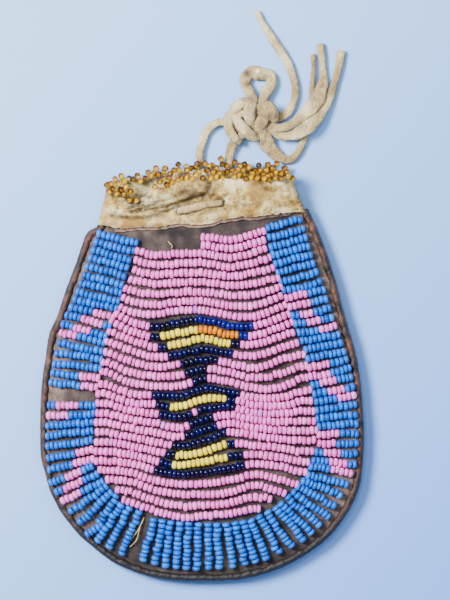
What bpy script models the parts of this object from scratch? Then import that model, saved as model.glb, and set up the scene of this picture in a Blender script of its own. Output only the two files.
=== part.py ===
"""Beaded hide pouch with a thong at its mouth, lying on its back.

Two hide panels are bound together round their edge. A rawhide collar forms the
mouth and carries an edging of amber beads. The front panel is covered with
strands of seed beads: level rows in the middle and a border of short strands
set square to the rim. Sizes are in millimetres, +Z is up through the beaded
front and +Y points out of the mouth.
"""
import math

import bmesh
import bpy
from mathutils import Vector

MM = 0.001

# Clearance between neighbouring pieces.
GAP = 0.3

# Outline of the rim: a wide round bottom and sides that draw in to the mouth.
BAG_WIDTH = 84.3
WIDEST_Y = -14.7
BOTTOM_DEPTH = 40.3
BOTTOM_POWER = 2.2
SIDE_RISE = 54.9
SIDE_DRAW_IN = 14.8
SIDE_POWER = 1.8
TOP_EDGE_Y = 39.0
TOP_EDGE_SLOPE = 0.064

# Hide panels and the space between them.
HIDE = 1.2
RIM_LIFT = 1.7
RIM_LIFT_START = 0.72
BELLY_SPACE = 6.6
MOUTH_SPACE = 5.2
BELLY_POWER = 2.4
TONGUE = 1.2
TONGUE_SIDE_ROOM = 4.4

# Folded strip that binds the panels' edges.
BINDING_WEB = 0.8
BINDING_LEG = 1.0
BINDING_THICK = 0.9
BINDING_ROLL = 0.5

# Rawhide collar at the mouth.
COLLAR_WALL = 1.1
COLLAR_EASE = 0.5
COLLAR_SIDE_INSET = 1.0
COLLAR_DRAW_IN = 1.9
COLLAR_POWER = 2.6
COLLAR_FRONT_EDGE = 37.3
COLLAR_EDGE_SLOPE = 0.042
COLLAR_EDGE_BOW = 0.0035
FRONT_LIP = 49.4
LIP_DIP = 5.4
LIP_DIP_X = -18.5
LIP_DIP_WIDTH = 5.5
BACK_LIP = 51.9
BACK_LIP_FALL = 2.6
FLARE_START = 40.5
FLARE_LENGTH = 5.5
FLARE_TOP = 1.1
FOLD_HEIGHT = 0.7
FOLD_WIDTH = 1.8
FOLD_FROM = (-16.0, 41.0)
FOLD_TO = (2.0, 48.0)
WELT_WIDTH = 1.0
WELT_THICK = 0.8

# Seed beads on their strands, and the amber beads of the edging.
BEAD = 2.16
BEAD_PITCH = 1.2
AMBER_BEAD = 1.65
AMBER_PITCH = 1.35
AMBER_THREAD = 0.5
FRONT_EDGING_ANGLES = (152.0, 22.0)
BACK_EDGING_ANGLES = (198.0, 338.0)
PICOT_NEAR = 1.0
PICOT_FAR = 2.2
PICOT_BEAD_COUNT = 2

# Border lane: strands square to the rim.
LEFT_STRAND_COUNT = 28
FAN_STRAND_COUNT = 27
RIGHT_STRAND_COUNT = 29
FAN_LEFT_COUNT = 6
LANE_START = 3.6
LANE_END = 3.2
LANE_LEFT = 12.4
LANE_RIGHT = 10.8
LANE_TOP_SHARE = 0.9
MARGIN_SIDE = 2.35
MARGIN_TOP = 3.4
MARGIN_BOTTOM = 3.2
SIDE_GAP_EXTRA = 1.0
FAN_GAP_EXTRA = 2.2

# Middle rows.
ROW_COUNT = 29
SHORT_ROW_COUNT = 2
SHORT_ROW_START = 0.4
ROW_TOP_Y = 30.2
BOTTOM_ROW_ROOM = 2.3
SHORT_ROW_SHARE = 0.86
ROW_BOW = 4.2
ROW_WAVE = 1.2
ROW_WAVE_LENGTH = 23.0
FIELD_GAP = 0.5

# Arms of the figure in the border: strand number and first bead from the inner end.
ARM_BEAD_COUNT = 4
LEFT_ARMS = {
    "pink_arm_left_upper": ((10, 0), (11, 2), (12, 4), (13, 6)),
    "pink_arm_left_middle": ((17, 0), (18, 1), (19, 3), (20, 6)),
    "pink_arm_left_lower": ((24, 0), (25, 1), (26, 2), (27, 4), (28, 6)),
}
RIGHT_ARMS = {
    "pink_arm_right_upper": ((9, 0), (10, 1), (11, 2), (12, 3), (13, 5)),
    "pink_arm_right_middle": ((17, 0), (18, 1), (19, 2), (20, 4), (21, 5)),
    "pink_arm_right_lower": ((25, 0), (26, 1), (27, 2), (28, 4), (29, 5)),
}

# Figure in the middle: row number, left edge in beads from the middle line, beads.
FIGURE = {
    "navy_crown_left": ("navy", ((10, -11, 10), (11, -11, 2), (12, -10, 3))),
    "royal_crown_right": ("royal", ((10, -1, 12), (11, 9, 2))),
    "yellow_crown": ("yellow", ((11, -9, 8), (12, -7, 13))),
    "orange_crown": ("orange", ((11, -1, 10),)),
    "navy_crown_right": ("navy", ((12, 6, 3),)),
    "navy_waist": (
        "navy",
        ((13, -7, 15), (14, -5, 8), (15, -3, 5), (16, -2, 3), (17, -11, 20)),
    ),
    "navy_bar_left": ("navy", ((18, -10, 2), (19, -10, 7))),
    "yellow_bar": ("yellow", ((18, -8, 13),)),
    "navy_foot": (
        "navy",
        ((18, 5, 2), (19, 0, 7), (20, -3, 5), (21, -4, 8), (22, -7, 13)),
    ),
    "navy_foot_right": ("navy", ((23, 5, 3), (24, 6, 3))),
    "navy_foot_base": ("navy", ((25, -11, 20),)),
    "navy_foot_left": ("navy", ((23, -9, 3), (24, -10, 3))),
    "yellow_foot": ("yellow", ((23, -6, 11), (24, -7, 13))),
}

# Thong of soft leather: its route is chosen by hand and lies on the table.
THONG = 2.1
LACING = 1.6
LACING_REST = 0.35
SLIT_EASE = 0.35
STITCH_LEFT = (-5.8, 41.2)
STITCH_RIGHT = (5.0, 43.4)
BACK_SLIT_Y = 46.3
BACK_RUN_LEFT = -0.5
BACK_RUN_RIGHT = 7.2
KNOT_CENTRE = (13.1, 64.6)
KNOT_HALF = (6.3, 5.7, 3.1)
TABLE_CLEAR = 0.05

THONG_ROUTES = {
    "thong_leg_left": (
        (-0.5, 55.5, 0.0), (-0.4, 57.0, 0.0), (0.1, 59.2, 0.0), (1.0, 61.6, 0.1),
        (2.6, 63.5, 0.3), (4.4, 64.5, 0.6), (6.1, 64.6, 0.9),
    ),
    "thong_leg_right": (
        (7.2, 55.5, 0.0), (7.4, 56.8, 0.1), (7.9, 58.3, 0.5), (8.6, 59.6, 0.9),
    ),
    "thong_tail_long": (
        (19.3, 65.3, 0.8), (21.4, 66.3, 0.2), (23.2, 68.1, 0.0), (24.2, 70.6, 0.0),
        (24.4, 73.2, 0.0), (23.9, 76.2, 0.0), (22.6, 79.6, 0.0), (20.6, 83.0, 0.0),
        (18.2, 86.6, 0.0), (16.0, 90.2, 0.0), (14.4, 93.2, 0.0),
    ),
    "thong_tail_middle": (
        (20.2, 63.3, 3.5), (22.2, 64.2, 3.2), (24.6, 65.6, 3.0), (27.0, 67.0, 3.0),
        (29.0, 68.6, 2.3), (30.1, 70.6, 1.0), (30.6, 73.2, 0.1), (30.9, 76.6, 0.0),
        (31.0, 80.4, 0.0), (30.8, 84.4, 0.0),
    ),
    "thong_tail_right": (
        (18.3, 60.9, 0.7), (20.2, 60.1, 0.8), (22.6, 60.2, 1.6), (25.0, 60.9, 2.6),
        (26.9, 61.8, 2.7), (29.0, 63.3, 1.7), (31.2, 65.6, 0.5), (32.9, 68.4, 0.0),
        (34.1, 71.8, 0.0), (34.9, 75.4, 0.0), (35.7, 79.0, 0.0), (36.4, 82.6, 0.0),
    ),
    "thong_loop_tail": (
        (16.6, 58.4, 0.5), (17.8, 57.0, 0.2), (19.4, 55.4, 0.0), (21.4, 54.4, 0.0),
        (23.3, 54.7, 0.0), (25.1, 56.7, 0.0), (26.4, 59.4, 0.0), (27.2, 62.4, 0.0),
        (27.7, 65.4, 0.0), (28.0, 68.4, 0.0), (28.1, 72.4, 0.0), (28.0, 76.8, 0.0),
        (27.8, 81.8, 0.0),
    ),
    "thong_eye": (
        (12.8, 71.2, 1.0), (11.6, 72.9, 0.6), (10.3, 75.2, 0.2), (10.2, 77.3, 0.0),
        (11.6, 78.9, 0.0), (13.9, 79.5, 0.0), (16.4, 78.9, 0.0), (18.4, 77.3, 0.0),
        (18.9, 75.2, 0.1), (17.8, 73.2, 0.5), (16.3, 71.3, 1.0),
    ),
}

# Colour, roughness and metallic value of each finish.
FINISHES = {
    "hide": ((0.15, 0.09, 0.065), 0.85),
    "binding": ((0.17, 0.075, 0.04), 0.7),
    "rawhide": ((0.66, 0.56, 0.36), 0.75),
    "thong": ((0.60, 0.49, 0.31), 0.8),
    "pink": ((0.80, 0.32, 0.57), 0.3),
    "blue": ((0.02, 0.22, 0.74), 0.25),
    "navy": ((0.01, 0.01, 0.16), 0.2),
    "royal": ((0.02, 0.03, 0.42), 0.2),
    "yellow": ((0.77, 0.66, 0.10), 0.3),
    "orange": ((0.85, 0.25, 0.01), 0.3),
    "amber": ((0.65, 0.30, 0.01), 0.15),
}


def clear_scene():
    for item in list(bpy.data.objects):
        bpy.data.objects.remove(item, do_unlink=True)


def finish(name):
    material = bpy.data.materials.new(name)
    colour, roughness = FINISHES[name]
    material.use_nodes = True
    shader = material.node_tree.nodes["Principled BSDF"]
    shader.inputs["Base Color"].default_value = (*colour, 1.0)
    shader.inputs["Roughness"].default_value = roughness
    shader.inputs["Metallic"].default_value = 0.0
    material.diffuse_color = (*colour, 1.0)
    return material


def place(name, data, finish_name):
    piece = bpy.data.objects.new(name, data)
    data.materials.append(finish(finish_name))
    bpy.context.collection.objects.link(piece)
    return piece


def solid(name, build, finish_name, sharp_degrees=35.0):
    """Make a named piece from a function that fills a bmesh in millimetres."""
    mesh = bpy.data.meshes.new(name)
    work = bmesh.new()
    build(work)
    bmesh.ops.scale(work, vec=(MM, MM, MM), verts=work.verts)
    bmesh.ops.recalc_face_normals(work, faces=work.faces)
    bmesh.ops.triangulate(work, faces=work.faces)
    work.to_mesh(mesh)
    work.free()
    mesh.shade_smooth()
    mesh.set_sharp_from_angle(angle=math.radians(sharp_degrees))
    return place(name, mesh, finish_name)


def lerp(start, end, share):
    return start + (end - start) * share


def smoothstep(low, high, value):
    share = min(1.0, max(0.0, (value - low) / (high - low)))
    return share * share * (3.0 - 2.0 * share)


def side_share(y):
    """How far y lies above the widest line, as a share of the sides' rise."""
    return max(0.0, (y - WIDEST_Y) / SIDE_RISE)


def half_width(y):
    """Half width of the rim at y, above the widest line."""
    return BAG_WIDTH / 2 - SIDE_DRAW_IN * side_share(y) ** SIDE_POWER


def top_edge(x):
    """Y of the panels' sloping top edge."""
    return TOP_EDGE_Y + TOP_EDGE_SLOPE * x


def corner(side):
    """Top corner of the rim: side is -1 on the left and +1 on the right."""
    x = side * half_width(TOP_EDGE_Y)
    for _ in range(4):
        x = side * half_width(top_edge(x))
    return Vector((x, top_edge(x)))


class Route:
    """A polyline that can be read by its running length."""

    def __init__(self, points):
        self.points = points
        self.marks = [0.0]
        for before, after in zip(points, points[1:]):
            self.marks.append(self.marks[-1] + (after - before).length)
        self.length = self.marks[-1]

    def at(self, distance):
        distance = min(max(distance, 0.0), self.length)
        index = 0
        while index < len(self.points) - 2 and self.marks[index + 1] < distance:
            index += 1
        run = self.marks[index + 1] - self.marks[index]
        return self.points[index].lerp(self.points[index + 1], (distance - self.marks[index]) / run)

    def inward(self, distance):
        """Unit normal that points into the bag, on a route from left to right."""
        step = 1.5
        along = self.at(distance + step) - self.at(distance - step)
        return Vector((-along.y, along.x)).normalized()


def rim_route(steps=60):
    """Outer edge of the rim, from the top left corner round to the top right one."""
    left = corner(-1)
    right = corner(1)
    points = []
    for step in range(steps):
        y = lerp(left.y, WIDEST_Y, step / steps)
        points.append(Vector((-half_width(y), y)))
    for step in range(2 * steps + 1):
        angle = math.pi * step / (2 * steps)
        across = math.copysign(abs(math.cos(angle)) ** (2 / BOTTOM_POWER), -math.cos(angle))
        down = math.sin(angle) ** (2 / BOTTOM_POWER)
        points.append(Vector((across * BAG_WIDTH / 2, WIDEST_Y - BOTTOM_DEPTH * down)))
    for step in range(1, steps + 1):
        y = lerp(WIDEST_Y, right.y, step / steps)
        points.append(Vector((half_width(y), y)))
    return Route(points)


RIM = rim_route()


def edge_share(x, y):
    """0 at the middle of the bag and 1 on the rim."""
    if y > WIDEST_Y:
        return min(1.0, abs(x) / half_width(y))
    across = (abs(x) / (BAG_WIDTH / 2)) ** BOTTOM_POWER
    down = (abs(y - WIDEST_Y) / BOTTOM_DEPTH) ** BOTTOM_POWER
    return min(1.0, (across + down) ** (1 / BOTTOM_POWER))


def back_outside(x, y):
    """Underside of the back panel: flat on the table, lifted towards the rim."""
    lift = max(0.0, (edge_share(x, y) - RIM_LIFT_START) / (1.0 - RIM_LIFT_START))
    return RIM_LIFT * lift * lift


def front_outside(x, y):
    """Top of the front panel, domed between the rim and the middle."""
    rim = RIM_LIFT + 2 * HIDE + GAP
    space = lerp(BELLY_SPACE, MOUTH_SPACE, smoothstep(0.0, 1.0, side_share(y)))
    crown = space + 2 * HIDE
    return rim + (crown - rim) * (1.0 - edge_share(x, y) ** BELLY_POWER)


def panel_outline(tongue):
    """Edge of a panel inside the binding, closed by its top edge."""
    inset = BINDING_WEB + GAP
    count = 46
    points = []
    for step in range(count + 1):
        distance = RIM.length * step / count
        points.append(RIM.at(distance) + RIM.inward(distance) * inset)
    points[0].y = top_edge(points[0].x)
    points[-1].y = top_edge(points[-1].x)
    reach = half_width(TOP_EDGE_Y) - TONGUE_SIDE_ROOM
    across = 7
    if tongue:
        points.append(Vector((reach, top_edge(reach))))
    for step in range(across + 1):
        x = lerp(reach, -reach, step / across)
        points.append(Vector((x, top_edge(x) + tongue)))
    if tongue:
        points.append(Vector((-reach, top_edge(-reach))))
    return points


def panel(work, tongue, low, high):
    """A hide panel: rings of points from its middle out to its outline."""
    outline = panel_outline(tongue)
    middle = Vector((0.0, WIDEST_Y + BOTTOM_DEPTH / 4))
    shares = (0.4, 0.68, 0.87, 1.0)
    faces = {}
    for side, height in (("low", low), ("high", high)):
        centre = work.verts.new((*middle, height(*middle)))
        rings = []
        for share in shares:
            ring = []
            for point in outline:
                spot = middle.lerp(point, share)
                ring.append(work.verts.new((*spot, height(*spot))))
            rings.append(ring)
        count = len(outline)
        for index in range(count):
            after = (index + 1) % count
            work.faces.new((centre, rings[0][index], rings[0][after]))
            for inner, outer in zip(rings, rings[1:]):
                work.faces.new((inner[index], outer[index], outer[after], inner[after]))
        faces[side] = rings[-1]
    bridge(work, faces["low"], faces["high"], closed=True)


def bridge(work, low, high, closed=False):
    """Join two rows of as many points with a band of faces."""
    count = len(low)
    for index in range(count if closed else count - 1):
        after = (index + 1) % count
        work.faces.new((low[index], low[after], high[after], high[index]))


def back_panel(work):
    panel(work, 0.0, back_outside, lambda x, y: back_outside(x, y) + HIDE)


def front_panel(work):
    panel(work, TONGUE, lambda x, y: front_outside(x, y) - HIDE, front_outside)


def binding_section(distance):
    """Folded section of the binding at one place on the rim, as points in space."""
    inward = RIM.inward(distance)
    outside = RIM.at(distance)
    reach = BINDING_WEB + GAP + BINDING_LEG

    def spot(inset, height):
        point = outside + inward * inset
        return Vector((point.x, point.y, height))

    edge = outside + inward * (BINDING_WEB + GAP)
    tip = outside + inward * reach
    under_edge = back_outside(*edge) - GAP
    under_tip = back_outside(*tip) - GAP
    over_edge = front_outside(*edge) + GAP
    over_tip = front_outside(*tip) + GAP
    low = max(TABLE_CLEAR, under_tip - BINDING_THICK)
    crown = over_edge + BINDING_THICK + BINDING_ROLL
    return (
        spot(BINDING_WEB * 0.6, low),
        spot(0.0, under_edge),
        spot(0.0, over_edge),
        spot(BINDING_WEB * 0.4, lerp(over_edge, crown, 0.75)),
        spot(reach * 0.5, crown),
        spot(reach * 0.85, lerp(over_edge, crown, 0.8)),
        spot(reach, max(over_tip + 0.2, lerp(over_edge, crown, 0.4))),
        spot(reach, over_tip),
        spot(BINDING_WEB, over_edge),
        spot(BINDING_WEB, under_edge),
        spot(reach, under_tip),
        spot(reach, low),
    )


def edge_binding(work):
    """The folded strip follows the rim and stops short of the collar."""
    count = 46
    start = GAP
    sections = []
    for step in range(count + 1):
        distance = lerp(start, RIM.length - start, step / count)
        sections.append([work.verts.new(point) for point in binding_section(distance)])
    for before, after in zip(sections, sections[1:]):
        bridge(work, before, after, closed=True)
    work.faces.new(sections[0])
    work.faces.new(sections[-1])


def flare(y):
    """0 where the collar leaves the panels and 1 at the lifted mouth."""
    return smoothstep(FLARE_START, FLARE_START + FLARE_LENGTH, y)


def collar_back_height(y):
    """Underside of the collar, lifted over the thong that runs below it."""
    return lerp(GAP, LACING + LACING_REST + GAP, flare(y))


def collar_front_height(y):
    crown = MOUTH_SPACE + 2 * HIDE
    return crown + GAP + COLLAR_EASE + COLLAR_WALL + FLARE_TOP * flare(y)


def collar_half_width():
    return half_width(TOP_EDGE_Y) - COLLAR_SIDE_INSET


def fold(x, y):
    """Height of the soft fold that crosses the collar's front."""
    start = Vector(FOLD_FROM)
    along = Vector(FOLD_TO) - start
    spot = Vector((x, y)) - start
    share = spot.dot(along) / along.length_squared
    nearest = along * min(1.0, max(0.0, share))
    fade = math.sin(math.pi * min(1.0, max(0.0, share)))
    return FOLD_HEIGHT * fade * math.exp(-((spot - nearest).length / FOLD_WIDTH) ** 2)


def front_lip(x):
    """Y of the mouth's front lip, with the dip near its left end."""
    return FRONT_LIP - LIP_DIP * math.exp(-((x - LIP_DIP_X) / LIP_DIP_WIDTH) ** 2)


def back_lip(x):
    reach = collar_half_width()
    return BACK_LIP - BACK_LIP_FALL * (1.0 - smoothstep(-0.85 * reach, -0.4 * reach, x))


def collar_front_edge(x):
    return COLLAR_FRONT_EDGE + COLLAR_EDGE_SLOPE * x + COLLAR_EDGE_BOW * x * x


def collar_point(angle, along, inset):
    """A point on the collar: angle round it, share along it, depth in its wall."""
    power = 2 / COLLAR_POWER
    across = math.copysign(abs(math.cos(angle)) ** power, math.cos(angle))
    rise = math.copysign(abs(math.sin(angle)) ** power, math.sin(angle))
    x = across * (collar_half_width() - inset - COLLAR_DRAW_IN * along)
    front = smoothstep(-0.2, 0.55, rise)
    lip = lerp(back_lip(x), front_lip(x), front)
    side_edge = top_edge(x) + GAP
    edge = lerp(side_edge, collar_front_edge(x), smoothstep(0.55, 0.9, rise))
    y = lerp(edge, lip, along)
    low = collar_back_height(y) + inset
    high = collar_front_height(y) - inset
    z = (low + high) / 2 + rise * (high - low) / 2
    if rise > 0:
        z += fold(x, y)
    return Vector((x, y, z))


def mouth_collar(work):
    """One ring of rawhide: the outer and inner faces joined at both edges."""
    around = 44
    along = 5
    shells = []
    for inset in (0.0, COLLAR_WALL):
        rows = []
        for step in range(along + 1):
            row = []
            for index in range(around):
                angle = 2 * math.pi * index / around
                row.append(work.verts.new(collar_point(angle, step / along, inset)))
            rows.append(row)
        shells.append(rows)
    for rows in shells:
        for before, after in zip(rows, rows[1:]):
            bridge(work, before, after, closed=True)
    outer, inner = shells
    bridge(work, outer[0], inner[0], closed=True)
    bridge(work, outer[-1], inner[-1], closed=True)


def slit_boxes(work):
    """Boxes that cut the four slits for the thong, two in each wall."""
    size = LACING + 2 * SLIT_EASE
    middle = (collar_back_height(BACK_SLIT_Y) + collar_front_height(BACK_SLIT_Y)) / 2
    front_spots = ((*STITCH_LEFT, 1), (*STITCH_RIGHT, 1))
    back_spots = ((BACK_RUN_LEFT, BACK_SLIT_Y, -1), (BACK_RUN_RIGHT, BACK_SLIT_Y, -1))
    height = collar_front_height(BACK_SLIT_Y)
    for x, y, side in front_spots + back_spots:
        box = bmesh.ops.create_cube(work, size=1.0)["verts"]
        bmesh.ops.scale(work, vec=(size, size, height), verts=box)
        bmesh.ops.translate(work, vec=(x, y, middle + side * height / 2), verts=box)


def cut_slits(collar):
    mesh = bpy.data.meshes.new("slit_cutter")
    work = bmesh.new()
    slit_boxes(work)
    bmesh.ops.scale(work, vec=(MM, MM, MM), verts=work.verts)
    work.to_mesh(mesh)
    work.free()
    cutter = bpy.data.objects.new("slit_cutter", mesh)
    cutter.hide_render = True
    cutter.display_type = "WIRE"
    bpy.context.collection.objects.link(cutter)
    cut = collar.modifiers.new("slits", "BOOLEAN")
    cut.operation = "DIFFERENCE"
    cut.solver = "EXACT"
    cut.object = cutter


def collar_welt(work):
    """Thin strip of hide that shows below the collar's front edge."""
    reach = collar_half_width() - TONGUE_SIDE_ROOM
    count = 20
    sections = []
    for step in range(count + 1):
        x = lerp(-reach, reach, step / count)
        high_y = collar_front_edge(x) - GAP
        low_y = high_y - WELT_WIDTH
        points = []
        for y, height in ((low_y, 0.0), (high_y, 0.0), (high_y, WELT_THICK), (low_y, WELT_THICK)):
            points.append(work.verts.new((x, y, front_outside(x, y) + GAP + height)))
        sections.append(points)
    for before, after in zip(sections, sections[1:]):
        bridge(work, before, after, closed=True)
    work.faces.new(sections[0])
    work.faces.new(sections[-1])


def bead_string(work, points, radius, neck):
    """Beads threaded along the points: a ring at each bead and a neck between."""
    sides = 5
    rings = []
    count = len(points)
    for index, point in enumerate(points):
        before = points[max(0, index - 1)]
        after = points[min(count - 1, index + 1)]
        along = (after - before).normalized()
        out = along.cross(Vector((0.0, 0.0, 1.0)))
        if out.length < 0.2:
            out = along.cross(Vector((1.0, 0.0, 0.0)))
        out.normalize()
        up = out.cross(along).normalized()
        reach = radius if index % 2 else neck
        ring = []
        for side in range(sides):
            angle = 2 * math.pi * side / sides
            spot = point + (out * math.cos(angle) + up * math.sin(angle)) * reach
            ring.append(work.verts.new(spot))
        rings.append(ring)
    for before, after in zip(rings, rings[1:]):
        bridge(work, before, after, closed=True)
    work.faces.new(rings[0])
    work.faces.new(rings[-1])


def lip_spot(angle, away):
    """A point beyond the lip, in the middle of the wall, away from its edge."""
    spot = collar_point(angle, 1.0, COLLAR_WALL / 2)
    return Vector((spot.x, spot.y + away, spot.z))


def picot_points(start, end):
    """Zigzag of bead centres and necks along the lip between two angles."""
    lip = Route([lip_spot(lerp(start, end, step / 60), 0.0) for step in range(61)])
    radius = AMBER_BEAD / 2
    near = GAP + radius
    span = PICOT_FAR - PICOT_NEAR
    count = int(lip.length / AMBER_PITCH)
    points = []
    for index in range(2 * count + 1):
        base = lip.at(lip.length * index / (2 * count))
        phase = (index / 2) % (2 * PICOT_BEAD_COUNT)
        zigzag = 1.0 - abs(phase - PICOT_BEAD_COUNT) / PICOT_BEAD_COUNT
        points.append(base + Vector((0.0, near + span * zigzag, 0.0)))
    return points


def amber_edging(name, start, end):
    points = picot_points(math.radians(start), math.radians(end))

    def build(work):
        bead_string(work, points, AMBER_BEAD / 2, AMBER_THREAD)

    return solid(name, build, "amber", 60.0)


def strand_field(name, finish_name, rows, stations, beyond=(None, None)):
    """One closed body for strands that lie side by side on the front panel.

    rows holds (line, start, end): line gives the point at a distance along the
    strand. beyond holds the lines of the strands next to the first and the last.
    Each strand is a round ridge, with a valley between it and the next.
    """
    radius = BEAD / 2
    shoulder = radius * math.sqrt(0.5)
    crest_height = BEAD
    shoulder_height = radius + shoulder
    valley_height = radius * 0.8
    lines = [row[0] for row in rows]

    def across(index, distance):
        """Unit direction towards the next strand."""
        first = lines[max(0, index - 1)]
        last = lines[min(len(lines) - 1, index + 1)]
        if len(lines) == 1:
            first = beyond[0] or lines[0]
            last = beyond[1] or lines[0]
        return (last(distance) - first(distance)).normalized()

    def outer_edge(index, distance, side):
        """Free edge of an outer strand, half the gap short of its neighbour."""
        here = lines[index](distance)
        neighbour = beyond[0] if side < 0 else beyond[1]
        reach = radius
        if neighbour is not None:
            half = (neighbour(distance) - here).length / 2
            reach = min(radius, half - GAP / 2)
        return here + across(index, distance) * side * reach

    profile = []
    last = len(rows) - 1
    for index, (line, start, end) in enumerate(rows):
        if index == 0:
            edge = [outer_edge(0, lerp(start, end, s / stations), -1) for s in range(stations + 1)]
            profile.append((edge, valley_height, True))
        for offset, height, below in (
            (-shoulder, shoulder_height, False),
            (0.0, crest_height, False),
            (shoulder, shoulder_height, False),
        ):
            run = []
            for step in range(stations + 1):
                distance = lerp(start, end, step / stations)
                run.append(line(distance) + across(index, distance) * offset)
            profile.append((run, height, below))
        if index == last:
            edge = [outer_edge(last, lerp(start, end, s / stations), 1) for s in range(stations + 1)]
            profile.append((edge, valley_height, True))
        else:
            other, other_start, other_end = rows[index + 1]
            low = max(start, other_start)
            high = min(end, other_end)
            run = []
            for step in range(stations + 1):
                distance = lerp(low, high, step / stations)
                run.append((line(distance) + other(distance)) / 2)
            profile.append((run, valley_height, True))

    def build(work):
        def raised(point, height):
            return work.verts.new((point.x, point.y, front_outside(point.x, point.y) + GAP + height))

        tops = [[raised(point, height) for point in run] for run, height, _ in profile]
        kept = [index for index, entry in enumerate(profile) if entry[2]]
        bottoms = {index: [raised(point, 0.0) for point in profile[index][0]] for index in kept}
        for before, after in zip(tops, tops[1:]):
            bridge(work, before, after)
        for before, after in zip(kept, kept[1:]):
            bridge(work, bottoms[before], bottoms[after])
            for end in (0, -1):
                ring = [tops[index][end] for index in range(before, after + 1)]
                work.faces.new(ring + [bottoms[after][end], bottoms[before][end]])
        for index in (kept[0], kept[-1]):
            bridge(work, tops[index], bottoms[index])

    return solid(name, build, finish_name, 70.0)


def lane_margin(share):
    """Bare hide between the rim and the lane, at a share of the way round."""
    top = max(1.0 - share / 0.22, 1.0 - (1.0 - share) / 0.22, 0.0)
    bottom = max(0.0, 1.0 - abs(share - 0.5) / 0.2)
    return MARGIN_SIDE + (MARGIN_TOP - MARGIN_SIDE) * top + (MARGIN_BOTTOM - MARGIN_SIDE) * bottom


def lane_length(share):
    length = lerp(LANE_LEFT, LANE_RIGHT, smoothstep(0.58, 0.8, share))
    end = max(1.0 - share / 0.12, 1.0 - (1.0 - share) / 0.12, 0.0)
    return length * lerp(1.0, LANE_TOP_SHARE, end)


def lane_strands():
    """Inner end, direction and length of every border strand, left to right."""
    total = LEFT_STRAND_COUNT + FAN_STRAND_COUNT + RIGHT_STRAND_COUNT
    spare = SIDE_GAP_EXTRA + FAN_GAP_EXTRA
    pitch = (RIM.length - LANE_START - LANE_END - spare) / (total - 1)
    strands = []
    distance = LANE_START
    for index in range(total):
        share = distance / RIM.length
        inward = RIM.inward(distance)
        margin = lane_margin(share)
        length = lane_length(share)
        inner = RIM.at(distance) + inward * (margin + length)
        strands.append((inner, -inward, length))
        distance += pitch
        if index + 1 == 18:
            distance += SIDE_GAP_EXTRA
        if index + 1 == LEFT_STRAND_COUNT + FAN_LEFT_COUNT:
            distance += FAN_GAP_EXTRA
    return strands


LANE = lane_strands()


def lane_line(index):
    inner, outward, _ = LANE[index]
    return lambda distance: inner + outward * distance


def lane_neighbour(index):
    return lane_line(index) if 0 <= index < len(LANE) else None


def lane_field(name, finish_name, spans):
    """spans maps a strand's index to its (start, end) in millimetres."""
    order = sorted(spans)
    rows = [(lane_line(index), *spans[index]) for index in order]
    beyond = (lane_neighbour(order[0] - 1), lane_neighbour(order[-1] + 1))
    if order[0] == LEFT_STRAND_COUNT + FAN_LEFT_COUNT:
        beyond = (None, beyond[1])
    if order[-1] == LEFT_STRAND_COUNT + FAN_LEFT_COUNT - 1:
        beyond = (beyond[0], None)
    return strand_field(name, finish_name, rows, 2, beyond)


def arm_span(first_bead, length, last):
    """Start and end of an arm's run; its last strand runs out to the strand's end."""
    start = first_bead * BEAD_PITCH + (GAP / 2 if first_bead else 0.0)
    end = length if last else (first_bead + ARM_BEAD_COUNT) * BEAD_PITCH - GAP / 2
    return start, end


def lane_side(arms, numbers, names):
    """Lay out one side of the border: arms, and the blue fields between them."""
    blue = [dict() for _ in names]
    for order, (arm_name, cells) in enumerate(arms.items()):
        arm = {}
        for cell, (number, first_bead) in enumerate(cells):
            index = numbers(number)
            length = LANE[index][2]
            start, end = arm_span(first_bead, length, cell == len(cells) - 1)
            arm[index] = (start, end)
            if end + GAP + BEAD_PITCH / 2 < length:
                blue[order][index] = (end + GAP, length)
            if start > BEAD_PITCH:
                blue[order + 1][index] = (0.0, start - GAP)
        lane_field(arm_name, "pink", arm)
    return blue


def left_number(number):
    return number - 1


def right_number(number):
    return len(LANE) - number


def border():
    """Blue border strands with the pink arms of the figure let into them."""
    left_names = ("blue_left_upper", "blue_left_middle", "blue_left_lower", "blue_fan_left")
    right_names = ("blue_right_upper", "blue_right_middle", "blue_right_lower", "blue_fan")
    sides = (
        (LEFT_ARMS, left_number, left_names),
        (RIGHT_ARMS, right_number, right_names),
    )
    for arms, numbers, names in sides:
        blue = lane_side(arms, numbers, names)
        firsts = [cells[0][0] for cells in arms.values()]
        lasts = [cells[-1][0] for cells in arms.values()]
        count = LEFT_STRAND_COUNT if arms is LEFT_ARMS else RIGHT_STRAND_COUNT
        starts = [1] + [last + 1 for last in lasts]
        ends = firsts + [count + 1]
        for spans, start, end in zip(blue, starts, ends):
            for number in range(start, end):
                index = numbers(number)
                spans[index] = (0.0, LANE[index][2])
        fan_first = LEFT_STRAND_COUNT
        fan_split = LEFT_STRAND_COUNT + FAN_LEFT_COUNT
        fan_last = LEFT_STRAND_COUNT + FAN_STRAND_COUNT
        fan = range(fan_first, fan_split) if arms is LEFT_ARMS else range(fan_split, fan_last)
        for index in fan:
            blue[-1][index] = (0.0, LANE[index][2])
        for name, spans in zip(names, blue):
            lane_field(name, "blue", spans)


def middle_edge():
    """Closed outline that the middle rows stay inside."""
    points = [inner - outward * FIELD_GAP for inner, outward, _ in LANE]
    above = Vector((0.0, 3 * BEAD))
    return [points[0] + above] + points + [points[-1] + above]


MIDDLE_EDGE = middle_edge()


def row_pitch():
    """Spacing that carries the full rows from the top down to the fan."""
    lowest = min(point.y for point in MIDDLE_EDGE)
    return (ROW_TOP_Y - BOTTOM_ROW_ROOM - lowest) / (ROW_COUNT - SHORT_ROW_COUNT - 1)


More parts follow.
